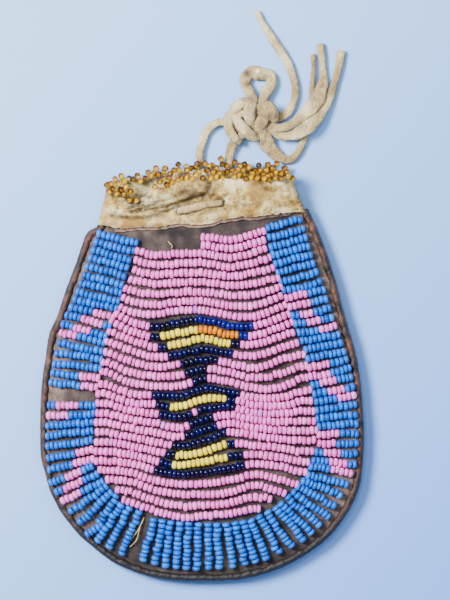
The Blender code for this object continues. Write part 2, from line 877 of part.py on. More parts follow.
def inside_middle(point):
    inside = False
    for start, end in zip(MIDDLE_EDGE, MIDDLE_EDGE[1:] + MIDDLE_EDGE[:1]):
        if (start.y > point.y) != (end.y > point.y):
            crossing = lerp(start.x, end.x, (point.y - start.y) / (end.y - start.y))
            if point.x < crossing:
                inside = not inside
    return inside


def row_line(number):
    """Line of a middle row: bowed up at its ends, with a wave in its middle."""
    full = number - SHORT_ROW_COUNT - 1
    base = ROW_TOP_Y - row_pitch() * full * (1.0 if full >= 0 else SHORT_ROW_SHARE)
    depth = max(0, full) / (ROW_COUNT - SHORT_ROW_COUNT - 1)
    bow = lerp(ROW_BOW, -ROW_BOW / 3, depth)
    reach = BAG_WIDTH / 2 - LANE_LEFT - MARGIN_SIDE

    def line(x):
        wave = ROW_WAVE * (math.cos(2 * math.pi * x / ROW_WAVE_LENGTH) - 1.0) / 2
        return Vector((x, base + bow * (x / reach) ** 2 + wave))

    return line


def row_reach(number, side):
    """Where a row stops, so that its round flanks stay inside the middle."""
    line = row_line(number)
    flank = Vector((0.0, BEAD / 2))
    step = 0.2
    x = SHORT_ROW_START + 3.0 if number <= SHORT_ROW_COUNT else 0.0
    while True:
        x += side * step
        spot = line(x)
        if not (inside_middle(spot + flank) and inside_middle(spot - flank)):
            break
    return x - side * step


def row_limits(number):
    left = SHORT_ROW_START if number <= SHORT_ROW_COUNT else row_reach(number, -1)
    return left, row_reach(number, 1)


def row_neighbour(number):
    return row_line(number) if 1 <= number <= ROW_COUNT else None


def row_field(name, finish_name, spans, stations):
    order = sorted(spans)
    rows = [(row_line(number), *spans[number]) for number in order]
    beyond = (row_neighbour(order[0] - 1), row_neighbour(order[-1] + 1))
    return strand_field(name, finish_name, rows, stations, beyond)


def figure_spans(cells):
    spans = {}
    for number, left_bead, beads in cells:
        start = left_bead * BEAD_PITCH + GAP / 2
        spans[number] = (start, start + beads * BEAD_PITCH - GAP)
    return spans


def middle_rows():
    """Pink rows round the figure, and the figure's own colours."""
    left_edge = {}
    right_edge = {}
    for name, (finish_name, cells) in FIGURE.items():
        spans = figure_spans(cells)
        for number, (start, end) in spans.items():
            left_edge[number] = min(start, left_edge.get(number, start))
            right_edge[number] = max(end, right_edge.get(number, end))
        row_field(name, finish_name, spans, 4 if len(cells) > 1 else 6)
    first = min(left_edge)
    last = max(left_edge)
    upper = {number: row_limits(number) for number in range(1, first)}
    lower = {number: row_limits(number) for number in range(last + 1, ROW_COUNT + 1)}
    left = {number: (row_limits(number)[0], edge - GAP) for number, edge in left_edge.items()}
    right = {number: (edge + GAP, row_limits(number)[1]) for number, edge in right_edge.items()}
    row_field("pink_upper", "pink", upper, 8)
    row_field("pink_left", "pink", left, 4)
    row_field("pink_right", "pink", right, 4)
    row_field("pink_lower", "pink", lower, 8)


def smooth_points(points, per_span):
    """Points of a smooth curve through the route's own points."""
    result = []
    last = len(points) - 1
    for index in range(last):
        before = points[max(0, index - 1)]
        start = points[index]
        end = points[index + 1]
        after = points[min(last, index + 2)]
        for step in range(per_span):
            t = step / per_span
            pull = (end - before) * t
            bend = (before * 2 - start * 5 + end * 4 - after) * t ** 2
            turn = (start * 3 - before - end * 3 + after) * t ** 3
            result.append((start * 2 + pull + bend + turn) / 2)
    result.append(points[-1])
    return result


def tube(name, points, diameter, finish_name):
    """A curve with a round bevel and filled ends."""
    data = bpy.data.curves.new(name, "CURVE")
    data.dimensions = "3D"
    data.bevel_depth = diameter / 2 * MM
    data.bevel_resolution = 2
    data.use_fill_caps = True
    spline = data.splines.new("POLY")
    spline.points.add(len(points) - 1)
    for spot, point in zip(spline.points, points):
        spot.co = (*(point * MM), 1.0)
    return place(name, data, finish_name)


def thongs():
    """Free thong, in the stretches that show between its crossings and the knot."""
    rest = Vector((0.0, 0.0, THONG / 2 + TABLE_CLEAR))
    for name, route in THONG_ROUTES.items():
        points = [Vector(point) + rest for point in route]
        tube(name, smooth_points(points, 2), THONG, "thong")


def thong_knot(work):
    """Outer shape of the tight knot: five rounded turns pressed together."""
    centre = Vector((*KNOT_CENTRE, KNOT_HALF[2] + TABLE_CLEAR))
    bmesh.ops.create_uvsphere(work, u_segments=20, v_segments=10, radius=1.0)
    for vert in work.verts:
        turn = math.atan2(vert.co.y, vert.co.x)
        lobe = 1.0 - 0.09 * (1.0 + math.cos(5 * turn + 0.6)) / 2
        vert.co = Vector((
            centre.x + vert.co.x * KNOT_HALF[0] * lobe,
            centre.y + vert.co.y * KNOT_HALF[1] * lobe,
            centre.z + vert.co.z * KNOT_HALF[2],
        ))


def lacing():
    """Thong inside the collar: up the back, in, out for the stitch, and back."""
    half = LACING / 2
    under = half + LACING_REST
    over_left = collar_front_height(STITCH_LEFT[1]) + GAP + half
    over_right = collar_front_height(STITCH_RIGHT[1]) + GAP + half
    inside = (collar_back_height(BACK_SLIT_Y) + collar_front_height(BACK_SLIT_Y)) / 2
    tail_y = THONG_ROUTES["thong_leg_left"][0][1] - GAP
    left = Vector((*STITCH_LEFT, over_left))
    right = Vector((*STITCH_RIGHT, over_right))
    along = (right - left).normalized()
    back_left = Vector((BACK_RUN_LEFT, BACK_SLIT_Y, under))
    back_right = Vector((BACK_RUN_RIGHT, BACK_SLIT_Y, under))
    corner_ease = Vector((0.0, 0.0, LACING))
    outward = Vector((0.0, LACING, 0.0))
    points = [
        Vector((BACK_RUN_LEFT, tail_y, under)),
        back_left + outward * 2,
        back_left + outward * 0.6,
        back_left + corner_ease * 0.4,
        back_left + corner_ease,
        Vector((BACK_RUN_LEFT, BACK_SLIT_Y, inside)),
        Vector((left.x, left.y, inside)),
        left - corner_ease,
        left - corner_ease * 0.4,
        left + along * LACING * 0.5,
        left + along * LACING,
        right - along * LACING,
        right - along * LACING * 0.5,
        right - corner_ease * 0.4,
        right - corner_ease,
        Vector((right.x, right.y, inside)),
        Vector((BACK_RUN_RIGHT, BACK_SLIT_Y, inside)),
        back_right + corner_ease,
        back_right + corner_ease * 0.4,
        back_right + outward * 0.6,
        back_right + outward * 2,
        Vector((BACK_RUN_RIGHT, tail_y, under)),
    ]
    tube("drawstring_lacing", points, LACING, "thong")


def main():
    clear_scene()
    solid("back_panel", back_panel, "hide")
    solid("front_panel", front_panel, "hide")
    solid("edge_binding", edge_binding, "binding", 50.0)
    cut_slits(solid("mouth_collar", mouth_collar, "rawhide", 50.0))
    solid("collar_welt", collar_welt, "hide")
    amber_edging("amber_edging_front", *FRONT_EDGING_ANGLES)
    amber_edging("amber_edging_back", *BACK_EDGING_ANGLES)
    border()
    middle_rows()
    lacing()
    solid("thong_knot", thong_knot, "thong", 80.0)
    thongs()


main()
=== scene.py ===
# %% [markdown]
# A beaded hide pouch, seen from above on a pale table. The real one is two brown
# hides bound together round the edge, a collar of cream rawhide at the mouth, and
# rows of glass seed beads laid on the front and held down at their ends. A soft
# leather thong closes the mouth and ends in a knot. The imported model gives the
# real sizes, so this lesson only dresses it: every piece below is made in
# millimetres, in the same frame, and stands where its plain solid stands.

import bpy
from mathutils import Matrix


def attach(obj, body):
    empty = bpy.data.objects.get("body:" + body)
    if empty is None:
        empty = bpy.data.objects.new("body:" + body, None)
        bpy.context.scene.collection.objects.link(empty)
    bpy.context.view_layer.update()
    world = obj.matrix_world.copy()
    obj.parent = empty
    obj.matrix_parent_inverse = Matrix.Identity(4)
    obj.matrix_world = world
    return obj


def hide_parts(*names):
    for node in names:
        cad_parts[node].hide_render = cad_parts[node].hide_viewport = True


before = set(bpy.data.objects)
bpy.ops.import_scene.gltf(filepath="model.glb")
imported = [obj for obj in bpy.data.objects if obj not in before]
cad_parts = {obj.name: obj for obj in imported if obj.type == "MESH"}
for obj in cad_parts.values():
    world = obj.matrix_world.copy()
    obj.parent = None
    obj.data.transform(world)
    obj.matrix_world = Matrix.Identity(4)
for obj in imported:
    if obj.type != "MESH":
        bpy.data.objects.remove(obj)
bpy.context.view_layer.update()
print("packed model:", len(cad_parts), "pieces")

# %% [markdown]
# Blender's own Python makes the pieces, and numpy handles thousands of bead points
# at once. All sizes are written in millimetres and turned into Blender's metres
# where a mesh is made. The random numbers start from a fixed seed, so each run
# gives the same pouch.

# %% Tools used all through
import math
import random

import bpy
import bmesh
import numpy as np
from mathutils import Matrix, Vector, noise

MM = 0.001
random.seed(7)


def lerp(start, end, share):
    return start + (end - start) * share


def smoothstep(low, high, value):
    share = min(1.0, max(0.0, (value - low) / (high - low)))
    return share * share * (3.0 - 2.0 * share)


# %% [markdown]
# The photograph was read in its own pixels, from its top left corner. Seed beads
# are the scale: one is about 8.3 pixels across and they sit 4.6 pixels apart along
# a strand, and old beads of this kind are about 2.2 by 1.2 mm. So a pixel is
# 0.26 mm, and one small function turns a place in the picture into a place on
# the pouch.

# %% From the picture to the pouch
PIXEL = 0.26
MIDDLE_PIXEL = (201.8, 369.5)
PICTURE_SIZE = (450, 600)


def spot(pixel_x, pixel_y):
    """Place on the pouch, in millimetres, of a place in the picture."""
    return Vector(((pixel_x - MIDDLE_PIXEL[0]) * PIXEL, (MIDDLE_PIXEL[1] - pixel_y) * PIXEL))


print("one pixel is", PIXEL, "mm")

# %% [markdown]
# The camera looks straight down, as the photographer did. A long lens keeps the
# pouch free of wide-angle stretch. The lens is worked out from the height of the
# picture and the distance, so that the bead layer comes out at its right scale.

# %% Camera
CAMERA_DISTANCE = 1400.0
BEAD_LAYER = 8.0
SENSOR = 36.0

camera_data = bpy.data.cameras.new("camera")
camera_data.sensor_width = SENSOR
camera_data.lens = SENSOR * CAMERA_DISTANCE / (PICTURE_SIZE[1] * PIXEL)
camera_data.clip_start = 0.01
camera = bpy.data.objects.new("camera", camera_data)
bpy.context.collection.objects.link(camera)
view_middle = spot(PICTURE_SIZE[0] / 2, PICTURE_SIZE[1] / 2)
camera.location = (view_middle.x * MM, view_middle.y * MM, (CAMERA_DISTANCE + BEAD_LAYER) * MM)
bpy.context.scene.camera = camera
print("lens", round(camera_data.lens, 1), "mm")

# %% [markdown]
# A material is a small network of nodes. It could be wired by hand in the shader
# editor, but a script can be read and run again. One function adds a node, sets
# its choices and fills its inputs: a plain value is written on the socket, and an
# output of another node is linked to it. Colours are given as the hex values that
# a paint program shows, and turned to the linear values that a renderer needs.


# %% Material helpers
def linear(hex_colour):
    """Linear red, green, blue and alpha of an sRGB hex colour."""
    parts = [int(hex_colour[place:place + 2], 16) / 255 for place in (1, 3, 5)]
    return tuple(
        part / 12.92 if part <= 0.04045 else ((part + 0.055) / 1.055) ** 2.4 for part in parts
    ) + (1.0,)


def fill(tree, node, inputs):
    """Fill a node's inputs, each with a plain value or with a link to another's output."""
    for name, value in inputs.items():
        socket = node.inputs[name]
        if isinstance(value, bpy.types.NodeSocket):
            tree.links.new(value, socket)
        else:
            socket.default_value = value


def add_node(tree, kind, inputs=None, stops=(), **settings):
    """Add a node; stops are the (position, hex colour) pairs of a colour ramp."""
    made = tree.nodes.new(kind)
    for name, value in settings.items():
        setattr(made, name, value)
    fill(tree, made, inputs or {})
    if stops:
        elements = made.color_ramp.elements
        elements[0].position, elements[0].color = stops[0][0], linear(stops[0][1])
        elements[1].position, elements[1].color = stops[-1][0], linear(stops[-1][1])
        for position, hex_colour in stops[1:-1]:
            elements.new(position).color = linear(hex_colour)
    return made


def new_material(name):
    """A new material, its shader, and the place on the piece that its patterns read."""
    material = bpy.data.materials.new(name)
    material.use_nodes = True
    tree = material.node_tree
    tree.nodes.clear()
    shader = tree.nodes.new("ShaderNodeBsdfPrincipled")
    output = tree.nodes.new("ShaderNodeOutputMaterial")
    tree.links.new(shader.outputs["BSDF"], output.inputs["Surface"])
    place = add_node(tree, "ShaderNodeTexCoord").outputs["Object"]
    return material, tree, shader, place


print("middle grey in linear light:", round(linear("#808080")[0], 3))

# %% [markdown]
# Seed beads are drawn glass, cut into short tubes and tumbled in heat until the
# cut ends are round. Glass bends light with an IOR of about 1.52. The pink, blue
# and yellow ones are opaque and a little waxy after years of handling, so their
# gloss is soft, and light creeps a short way into the pale ones. The navy ones
# shine more. No two beads of a batch match. A material for each would be too many,
# so each bead carries its own shade value, which the one material reads as a mesh
# attribute and turns into a lighter or a darker tone. A film of dirt, in patches
# about 1.1 mm wide, sits where the noise is low.

# %% Glass of the seed beads
GLASS_IOR = 1.52
DIRT_SCALE = 900.0


def bead_glass(name, dark, base, light, roughness, glow, coat):
    """Glass in three tones; glow is how much light creeps in, coat is how much it shines."""
    material, tree, shader, place = new_material(name)
    shade = add_node(tree, "ShaderNodeAttribute", attribute_name="shade").outputs["Fac"]
    tone = add_node(
        tree, "ShaderNodeValToRGB", {"Fac": shade}, stops=((0.0, dark), (0.45, base), (1.0, light))
    ).outputs["Color"]
    dirt = add_node(
        tree, "ShaderNodeTexNoise", {"Vector": place, "Scale": DIRT_SCALE, "Detail": 3.0}
    ).outputs["Fac"]
    film = add_node(
        tree, "ShaderNodeValToRGB", {"Fac": dirt}, stops=((0.3, "#C9BDB0"), (0.5, "#FFFFFF"))
    ).outputs["Color"]
    soiled = add_node(
        tree, "ShaderNodeMix", {0: 0.5, 6: tone, 7: film}, data_type="RGBA", blend_type="MULTIPLY"
    ).outputs[2]
    dull = add_node(tree, "ShaderNodeMapRange", {
        "Value": dirt, "From Min": 0.3, "From Max": 0.7,
        "To Min": roughness + 0.1, "To Max": roughness,
    }).outputs["Result"]
    fill(tree, shader, {
        "Base Color": soiled, "Roughness": dull, "IOR": GLASS_IOR, "Specular IOR Level": 0.2,
        "Subsurface Weight": glow, "Subsurface Radius": (0.6, 0.5, 0.5), "Subsurface Scale": 0.0006,
        "Coat Weight": coat, "Coat Roughness": 0.12,
    })
    return material


PINK_GLASS = bead_glass("opaque_pink_glass", "#D65AB2", "#EC70CC", "#FA8EDE", 0.34, 0.05, 0.15)
BLUE_GLASS = bead_glass("opaque_blue_glass", "#004AAC", "#0064CE", "#0880EA", 0.28, 0.0, 0.25)
NAVY_GLASS = bead_glass("dark_navy_glass", "#010118", "#020238", "#080860", 0.14, 0.0, 0.25)
ROYAL_GLASS = bead_glass("royal_blue_glass", "#02034A", "#03066E", "#081296", 0.16, 0.0, 0.25)
YELLOW_GLASS = bead_glass("greasy_yellow_glass", "#DAC21A", "#ECD636", "#F8EC70", 0.34, 0.05, 0.1)
ORANGE_GLASS = bead_glass("opaque_orange_glass", "#BC6400", "#D07600", "#E28C04", 0.32, 0.0, 0.1)
LILAC_GLASS = bead_glass("lilac_glass", "#B062B4", "#C878CC", "#D890DA", 0.34, 0.05, 0.1)
print("six bead colours and an odd lilac one")

# %% [markdown]
# The pouch is hide. The panels are dark brown, matt and smoky. Three noises make
# their colour: blotches about 14 mm wide, mottling, and the grain, whose cells are
# about 0.3 mm and are drawn 0.5 mm so that they show. The mottling and the grain
# also go to a bump. The darkest patches have their own places, so they are stored
# on the points of each piece and not left to a noise: a few smudges, and painted
# shade below the collar, among the bead rows and towards the bottom. The strip
# bound round the edge is redder and has been rubbed to a low shine on its roll.


# %% Leather of the panels and the binding
def leather(name, stops, grain_mm, roughness, bump, blotch_mm=14.0):
    """Hide whose blotches and grain have the given sizes in millimetres."""
    material, tree, shader, place = new_material(name)
    broad, mottle, fine = (
        add_node(
            tree, "ShaderNodeTexNoise", {"Vector": place, "Scale": 1000 / size_mm, "Detail": detail}
        ).outputs["Fac"]
        for size_mm, detail in ((blotch_mm, 5.0), (grain_mm * 5, 6.0), (grain_mm, 3.0))
    )
    blend = add_node(
        tree, "ShaderNodeMix", {0: 0.5, 2: broad, 3: mottle}, data_type="FLOAT"
    ).outputs[0]
    level = add_node(
        tree, "ShaderNodeMix", {0: 0.22, 2: blend, 3: fine}, data_type="FLOAT"
    ).outputs[0]
    skin = add_node(tree, "ShaderNodeValToRGB", {"Fac": level}, stops=stops).outputs["Color"]
    # This darkens the hide towards near black where the points ask: a few smudges, and mostly painted
    # shade and painted shadow.
    smudge_and_shade = add_node(tree, "ShaderNodeAttribute", attribute_name="smudge_and_shade").outputs["Fac"]
    smudged_and_shaded = add_node(
        tree, "ShaderNodeMix", {0: smudge_and_shade, 6: skin, 7: linear("#1E191B")}, data_type="RGBA"
    ).outputs[2]
    rough = add_node(tree, "ShaderNodeMapRange", {
        "Value": mottle, "From Min": 0.35, "From Max": 0.65,
        "To Min": roughness - 0.1, "To Max": roughness,
    }).outputs["Result"]
    height = add_node(tree, "ShaderNodeMath", {0: fine, 1: mottle}, operation="ADD").outputs["Value"]
    relief = add_node(
        tree, "ShaderNodeBump", {"Height": height, "Strength": bump, "Distance": 0.0003}
    ).outputs["Normal"]
    fill(tree, shader, {
        "Base Color": smudged_and_shaded, "Roughness": rough, "Normal": relief, "Specular IOR Level": 0.35,
    })
    return material


PANEL_STOPS = ((0.32, "#261E1D"), (0.45, "#4E413D"), (0.55, "#6E5D56"), (0.68, "#988474"))
BACK_STOPS = ((0.3, "#4A382D"), (0.47, "#6E5746"), (0.58, "#86705A"), (0.72, "#A08A70"))
BINDING_STOPS = ((0.36, "#110B0A"), (0.46, "#2E201B"), (0.55, "#4A3027"), (0.66, "#764932"))
WELT_STOPS = ((0.3, "#56423A"), (0.5, "#876C60"), (0.7, "#AE9688"))
PANEL_HIDE = leather("smoked_hide_front", PANEL_STOPS, 0.5, 0.92, 0.6)
BACK_HIDE = leather("smoked_hide_back", BACK_STOPS, 0.5, 0.9, 0.5)
BINDING_HIDE = leather("rubbed_binding_hide", BINDING_STOPS, 0.6, 0.62, 0.8, 5.0)
WELT_HIDE = leather("pinkish_underlap_hide", WELT_STOPS, 0.5, 0.85, 0.5, 6.0)
print("four leathers")

# %% [markdown]
# Rawhide is untanned skin, scraped and dried, so the collar is pale and stiff,
# with ochre stains and small pits where hair grew, and its creases get painted
# shade. Its noises are about 8 mm wide for the broad tones, 2 mm for the mottling
# and 0.6 mm for the grit. The pits come from a cell texture about 1.4 mm apart,
# kept only where the mottling allows them. The ochre, and the painted shade in the
# folds and creases, lie where they do on the real collar, so its points say how
# much there is of each.

# %% Rawhide of the collar
TONE_SCALE = 120.0
MOTTLE_SCALE = 520.0
GRIT_SCALE = 1700.0
PIT_SCALE = 700.0
RAWHIDE_STOPS = ((0.4, "#6E4E24"), (0.45, "#AC8A46"), (0.5, "#DABE78"), (0.55, "#FFF2BE"))
# After the ochre come painted shade in the folds, then painted shade in the creases and slits.
RAWHIDE_LAYERS = (("ochre", "#C2923A"), ("fold_shade", "#665240"), ("crease_shade", "#2E2014"))


def rawhide_material():
    material, tree, shader, place = new_material("scraped_rawhide")
    broad = add_node(
        tree, "ShaderNodeTexNoise", {"Vector": place, "Scale": TONE_SCALE, "Detail": 5.0}
    ).outputs["Fac"]
    mottle = add_node(tree, "ShaderNodeTexNoise", {
        "Vector": place, "Scale": MOTTLE_SCALE, "Detail": 7.0, "Roughness": 0.62,
    }).outputs["Fac"]
    grit = add_node(tree, "ShaderNodeTexNoise", {
        "Vector": place, "Scale": GRIT_SCALE, "Detail": 5.0, "Roughness": 0.7,
    }).outputs["Fac"]
    level = add_node(
        tree, "ShaderNodeMix", {0: 0.45, 2: broad, 3: mottle}, data_type="FLOAT"
    ).outputs[0]
    worn = add_node(tree, "ShaderNodeMix", {0: 0.18, 2: level, 3: grit}, data_type="FLOAT").outputs[0]
    colour = add_node(
        tree, "ShaderNodeValToRGB", {"Fac": worn}, stops=RAWHIDE_STOPS
    ).outputs["Color"]
    for attribute, tone in RAWHIDE_LAYERS:
        share = add_node(tree, "ShaderNodeAttribute", attribute_name=attribute).outputs["Fac"]
        colour = add_node(
            tree, "ShaderNodeMix", {0: share, 6: colour, 7: linear(tone)}, data_type="RGBA"
        ).outputs[2]
    cells = add_node(
        tree, "ShaderNodeTexVoronoi", {"Vector": place, "Scale": PIT_SCALE}
    ).outputs["Distance"]
    pit = add_node(tree, "ShaderNodeMapRange", {
        "Value": cells, "From Min": 0.1, "From Max": 0.24, "To Min": 1.0, "To Max": 0.0,
    }).outputs["Result"]
    allowed = add_node(tree, "ShaderNodeMapRange", {
        "Value": mottle, "From Min": 0.5, "From Max": 0.58, "To Min": 0.0, "To Max": 0.8,
    }).outputs["Result"]
    shown = add_node(
        tree, "ShaderNodeMath", {0: pit, 1: allowed}, operation="MULTIPLY"
    ).outputs["Value"]
    pitted = add_node(
        tree, "ShaderNodeMix", {0: shown, 6: colour, 7: linear("#6E5836")}, data_type="RGBA"
    ).outputs[2]
    uneven = add_node(tree, "ShaderNodeMath", {0: mottle, 1: grit}, operation="ADD").outputs["Value"]
    height = add_node(
        tree, "ShaderNodeMath", {0: uneven, 1: shown}, operation="SUBTRACT"
    ).outputs["Value"]
    relief = add_node(
        tree, "ShaderNodeBump", {"Height": height, "Strength": 1.0, "Distance": 0.0007}
    ).outputs["Normal"]
    fill(tree, shader, {"Base Color": pitted, "Roughness": 0.8, "Normal": relief})
    return material


RAWHIDE = rawhide_material()
print("layers over the rawhide:", len(RAWHIDE_LAYERS))

# %% [markdown]
# The thong is buckskin, tanned soft and napped, so it gets a little sheen. Its
# broad tones are about 6 mm wide, its wrinkles 1.6 mm apart and its nap 0.4 mm,
# which is as fine as the picture can show. Soil, and painted shade along the
# thong's sides, are stored on the points, like the painted fold shade of the collar.

# %% Buckskin of the thong
SKIN_SCALE = 160.0
NAP_SCALE = 2400.0
WRINKLE_SCALE = 620.0
BUCKSKIN_STOPS = ((0.37, "#86704A"), (0.46, "#AE9464"), (0.53, "#C8B07E"), (0.62, "#E4D2A2"))


def buckskin_material():
    material, tree, shader, place = new_material("napped_buckskin")
    broad, nap, wrinkles = (
        add_node(
            tree, "ShaderNodeTexNoise", {"Vector": place, "Scale": scale, "Detail": detail}
        ).outputs["Fac"]
        for scale, detail in ((SKIN_SCALE, 5.0), (NAP_SCALE, 4.0), (WRINKLE_SCALE, 5.0))
    )
    level = add_node(tree, "ShaderNodeMix", {0: 0.3, 2: broad, 3: nap}, data_type="FLOAT").outputs[0]
    skin = add_node(
        tree, "ShaderNodeValToRGB", {"Fac": level}, stops=BUCKSKIN_STOPS
    ).outputs["Color"]
    # Soil and the painted shade of the thong's sides darken it towards dark brown.
    soil_and_shade = add_node(tree, "ShaderNodeAttribute", attribute_name="soil_and_shade").outputs["Fac"]
    soiled = add_node(
        tree, "ShaderNodeMix", {0: soil_and_shade, 6: skin, 7: linear("#4A3018")}, data_type="RGBA"
    ).outputs[2]
    height = add_node(
        tree, "ShaderNodeMath", {0: nap, 1: 0.25, 2: wrinkles}, operation="MULTIPLY_ADD"
    ).outputs["Value"]
    relief = add_node(
        tree, "ShaderNodeBump", {"Height": height, "Strength": 1.0, "Distance": 0.0012}
    ).outputs["Normal"]
    fill(tree, shader, {
        "Base Color": soiled, "Roughness": 0.9, "Normal": relief,
        "Sheen Weight": 0.25, "Sheen Roughness": 0.5,
    })
    return material


BUCKSKIN = buckskin_material()
print("tones of the buckskin:", len(BUCKSKIN_STOPS))

# %% [markdown]
# The beads of the edging are clear honey-coloured glass. In a real one, light comes
# in on the lamp's side and gathers on the other, so it is dark at one edge and
# golden at the other. Glass that lets all light through would do that, but at this
# size it mostly shows the pale table. So this glass lets only a little through,
# and that light is painted on: each bead's shade value grows across it, from a
# painted dark edge to a painted golden side. Its streaks are about 0.7 mm long.
# The stray fibres are dry sinew, a plain straw colour with a darker grain 0.3 mm
# wide, and a crumb of pale grit has the same make-up in lighter tones.

# %% Amber glass, sinew and grit
STREAK_SCALE = 1500.0
FIBRE_SCALE = 3000.0
# The dark end of these tones is each bead's painted shaded edge, the bright end its painted lit side.
AMBER_STOPS = ((0.0, "#241200"), (0.35, "#563200"), (0.65, "#A06A00"), (1.0, "#F2C400"))


def amber_glass():
    material, tree, shader, place = new_material("clear_amber_glass")
    shade = add_node(tree, "ShaderNodeAttribute", attribute_name="shade").outputs["Fac"]
    tone = add_node(
        tree, "ShaderNodeValToRGB", {"Fac": shade}, stops=AMBER_STOPS
    ).outputs["Color"]
    streak = add_node(
        tree, "ShaderNodeTexNoise", {"Vector": place, "Scale": STREAK_SCALE, "Detail": 2.0}
    ).outputs["Fac"]
    uneven = add_node(
        tree, "ShaderNodeValToRGB", {"Fac": streak}, stops=((0.35, "#B88830"), (0.6, "#FFFFFF"))
    ).outputs["Color"]
    mixed = add_node(
        tree, "ShaderNodeMix", {0: 0.5, 6: tone, 7: uneven}, data_type="RGBA", blend_type="MULTIPLY"
    ).outputs[2]
    fill(tree, shader, {
        "Base Color": mixed, "Roughness": 0.08, "IOR": GLASS_IOR,
        "Transmission Weight": 0.08, "Specular IOR Level": 0.3,
    })
    return material


def fibre_material(name, dark, light):
    material, tree, shader, place = new_material(name)
    grain = add_node(
        tree, "ShaderNodeTexNoise", {"Vector": place, "Scale": FIBRE_SCALE, "Detail": 3.0}
    ).outputs["Fac"]
    tone = add_node(
        tree, "ShaderNodeValToRGB", {"Fac": grain}, stops=((0.35, dark), (0.65, light))
    ).outputs["Color"]
    relief = add_node(
        tree, "ShaderNodeBump", {"Height": grain, "Strength": 0.5, "Distance": 0.0001}
    ).outputs["Normal"]
    fill(tree, shader, {"Base Color": tone, "Roughness": 0.6, "Normal": relief})
    return material


AMBER_GLASS = amber_glass()
SINEW = fibre_material("dry_sinew", "#8A6F38", "#C8B276")
PALE_GRIT = fibre_material("pale_grit", "#D2C296", "#FFF2CC")
print("materials:", len(bpy.data.materials))

# %% [markdown]
# The pouch's own form comes next, as formulas. It could be sculpted, but then each
# bead would have to search for the hide under it. The rim is a wide superellipse
# below its widest line, and above it the sides draw in towards the mouth. The
# front is domed, and the rows of beads ride on this one height function, so
# nothing can float above the hide or sink into it.

# %% The form of the pouch
HALF_WIDTH = 42.15
WIDEST_Y = -14.7
BOTTOM_DEPTH = 40.3
BOTTOM_POWER = 2.2
SIDE_RISE = 54.9
SIDE_DRAW_IN = 14.8
SIDE_POWER = 1.8
TOP_EDGE_Y = 39.0
TOP_EDGE_SLOPE = 0.064
GAP = 0.3
HIDE = 1.2
RIM_LIFT = 1.7
RIM_LIFT_START = 0.72
BELLY_SPACE = 6.6
MOUTH_SPACE = 5.2
BELLY_POWER = 2.4
print("widest line:", 2 * HALF_WIDTH, "mm across")


# %% Height of the hide at any place
def side_share(y):
    """How far y is up the sides: 0 at the widest line and 1 at the mouth's level."""
    return max(0.0, (y - WIDEST_Y) / SIDE_RISE)


def half_width(y):
    """Half width of the rim at y, above the widest line."""
    return HALF_WIDTH - SIDE_DRAW_IN * side_share(y) ** SIDE_POWER


def top_edge(x):
    """Y of the panels' sloping top edge."""
    return TOP_EDGE_Y + TOP_EDGE_SLOPE * x


def edge_share(x, y):
    """0 at the middle of the pouch and 1 on the rim."""
    if y > WIDEST_Y:
        return min(1.0, abs(x) / half_width(y))
    across = (abs(x) / HALF_WIDTH) ** BOTTOM_POWER
    down = (abs(y - WIDEST_Y) / BOTTOM_DEPTH) ** BOTTOM_POWER
    return min(1.0, (across + down) ** (1 / BOTTOM_POWER))


def back_outside(x, y):
    """Underside of the back panel, which lifts off the table near the rim."""
    lift = max(0.0, (edge_share(x, y) - RIM_LIFT_START) / (1.0 - RIM_LIFT_START))
    return RIM_LIFT * lift * lift


def front_outside(x, y):
    """Top of the front panel."""
    rim = RIM_LIFT + 2 * HIDE + GAP
    space = lerp(BELLY_SPACE, MOUTH_SPACE, smoothstep(0.0, 1.0, side_share(y)))
    crown = space + 2 * HIDE
    return rim + (crown - rim) * (1.0 - edge_share(x, y) ** BELLY_POWER)


def wobble(x, y, scale, seed):
    """Smooth unevenness between about -1 and 1, made of a few crossed waves."""
    total = 0.0
    for turn in range(4):
        angle = seed + turn * 1.9
        run = (x * math.cos(angle) + y * math.sin(angle)) / scale * (1.0 + 0.37 * turn)
        total += math.sin(run + seed * (turn + 1) * 2.3)
    return total / 4


print("front crown is", round(front_outside(0, 0), 2), "mm up")

# %% [markdown]
# A mesh is points and faces. Thousands of like pieces are quickest to make as
# arrays, so these helpers turn arrays of points and four-cornered faces into a
# piece, in metres, with its material, its body and its place in the table.


# %% Mesh helpers
def make_piece(name, points, faces, material, replaced):
    """A piece from points in millimetres; it stands for the CAD nodes in replaced."""
    mesh = bpy.data.meshes.new(name)
    mesh.from_pydata((np.asarray(points, dtype=float) * MM).tolist(), [], faces)
    mesh.validate()
    mesh.update()
    mesh.shade_smooth()
    mesh.materials.append(material)
    piece = bpy.data.objects.new(name, mesh)
    bpy.context.collection.objects.link(piece)
    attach(piece, "root")
    if replaced:
        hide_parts(*replaced)
    print(name, len(mesh.vertices), "points")
    return piece


def give_values(piece, name, values):
    """Store one number for each point, for the material to read."""
    layer = piece.data.attributes.new(name, "FLOAT", "POINT")
    layer.data.foreach_set("value", np.asarray(values, dtype=np.float32))


def grid_faces(rows, columns, closed=False):
    """Faces of a grid whose points run along each row; closed joins the row's ends."""
    faces = []
    for row in range(rows - 1):
        for column in range(columns if closed else columns - 1):
            after = (column + 1) % columns
            low = row * columns
            high = low + columns
            faces.append((low + column, low + after, high + after, high + column))
    return faces


print("faces between three rows of three points:", len(grid_faces(3, 3)))

# %% [markdown]
# One bead is a ring: a rounded outline, a little longer than it is thick, spun
# round the hole. A torus comes close, but its outline is a plain circle. Fourteen
# steps round and eight along the outline are enough at this scale. Every bead is
# then the same ring, turned so that its hole lies along the strand, made a touch
# larger or smaller, and tipped by a few degrees, because hand-strung beads never
# sit quite square. In clear glass the shade also grows across the bead, along
# the way that the light goes through it.

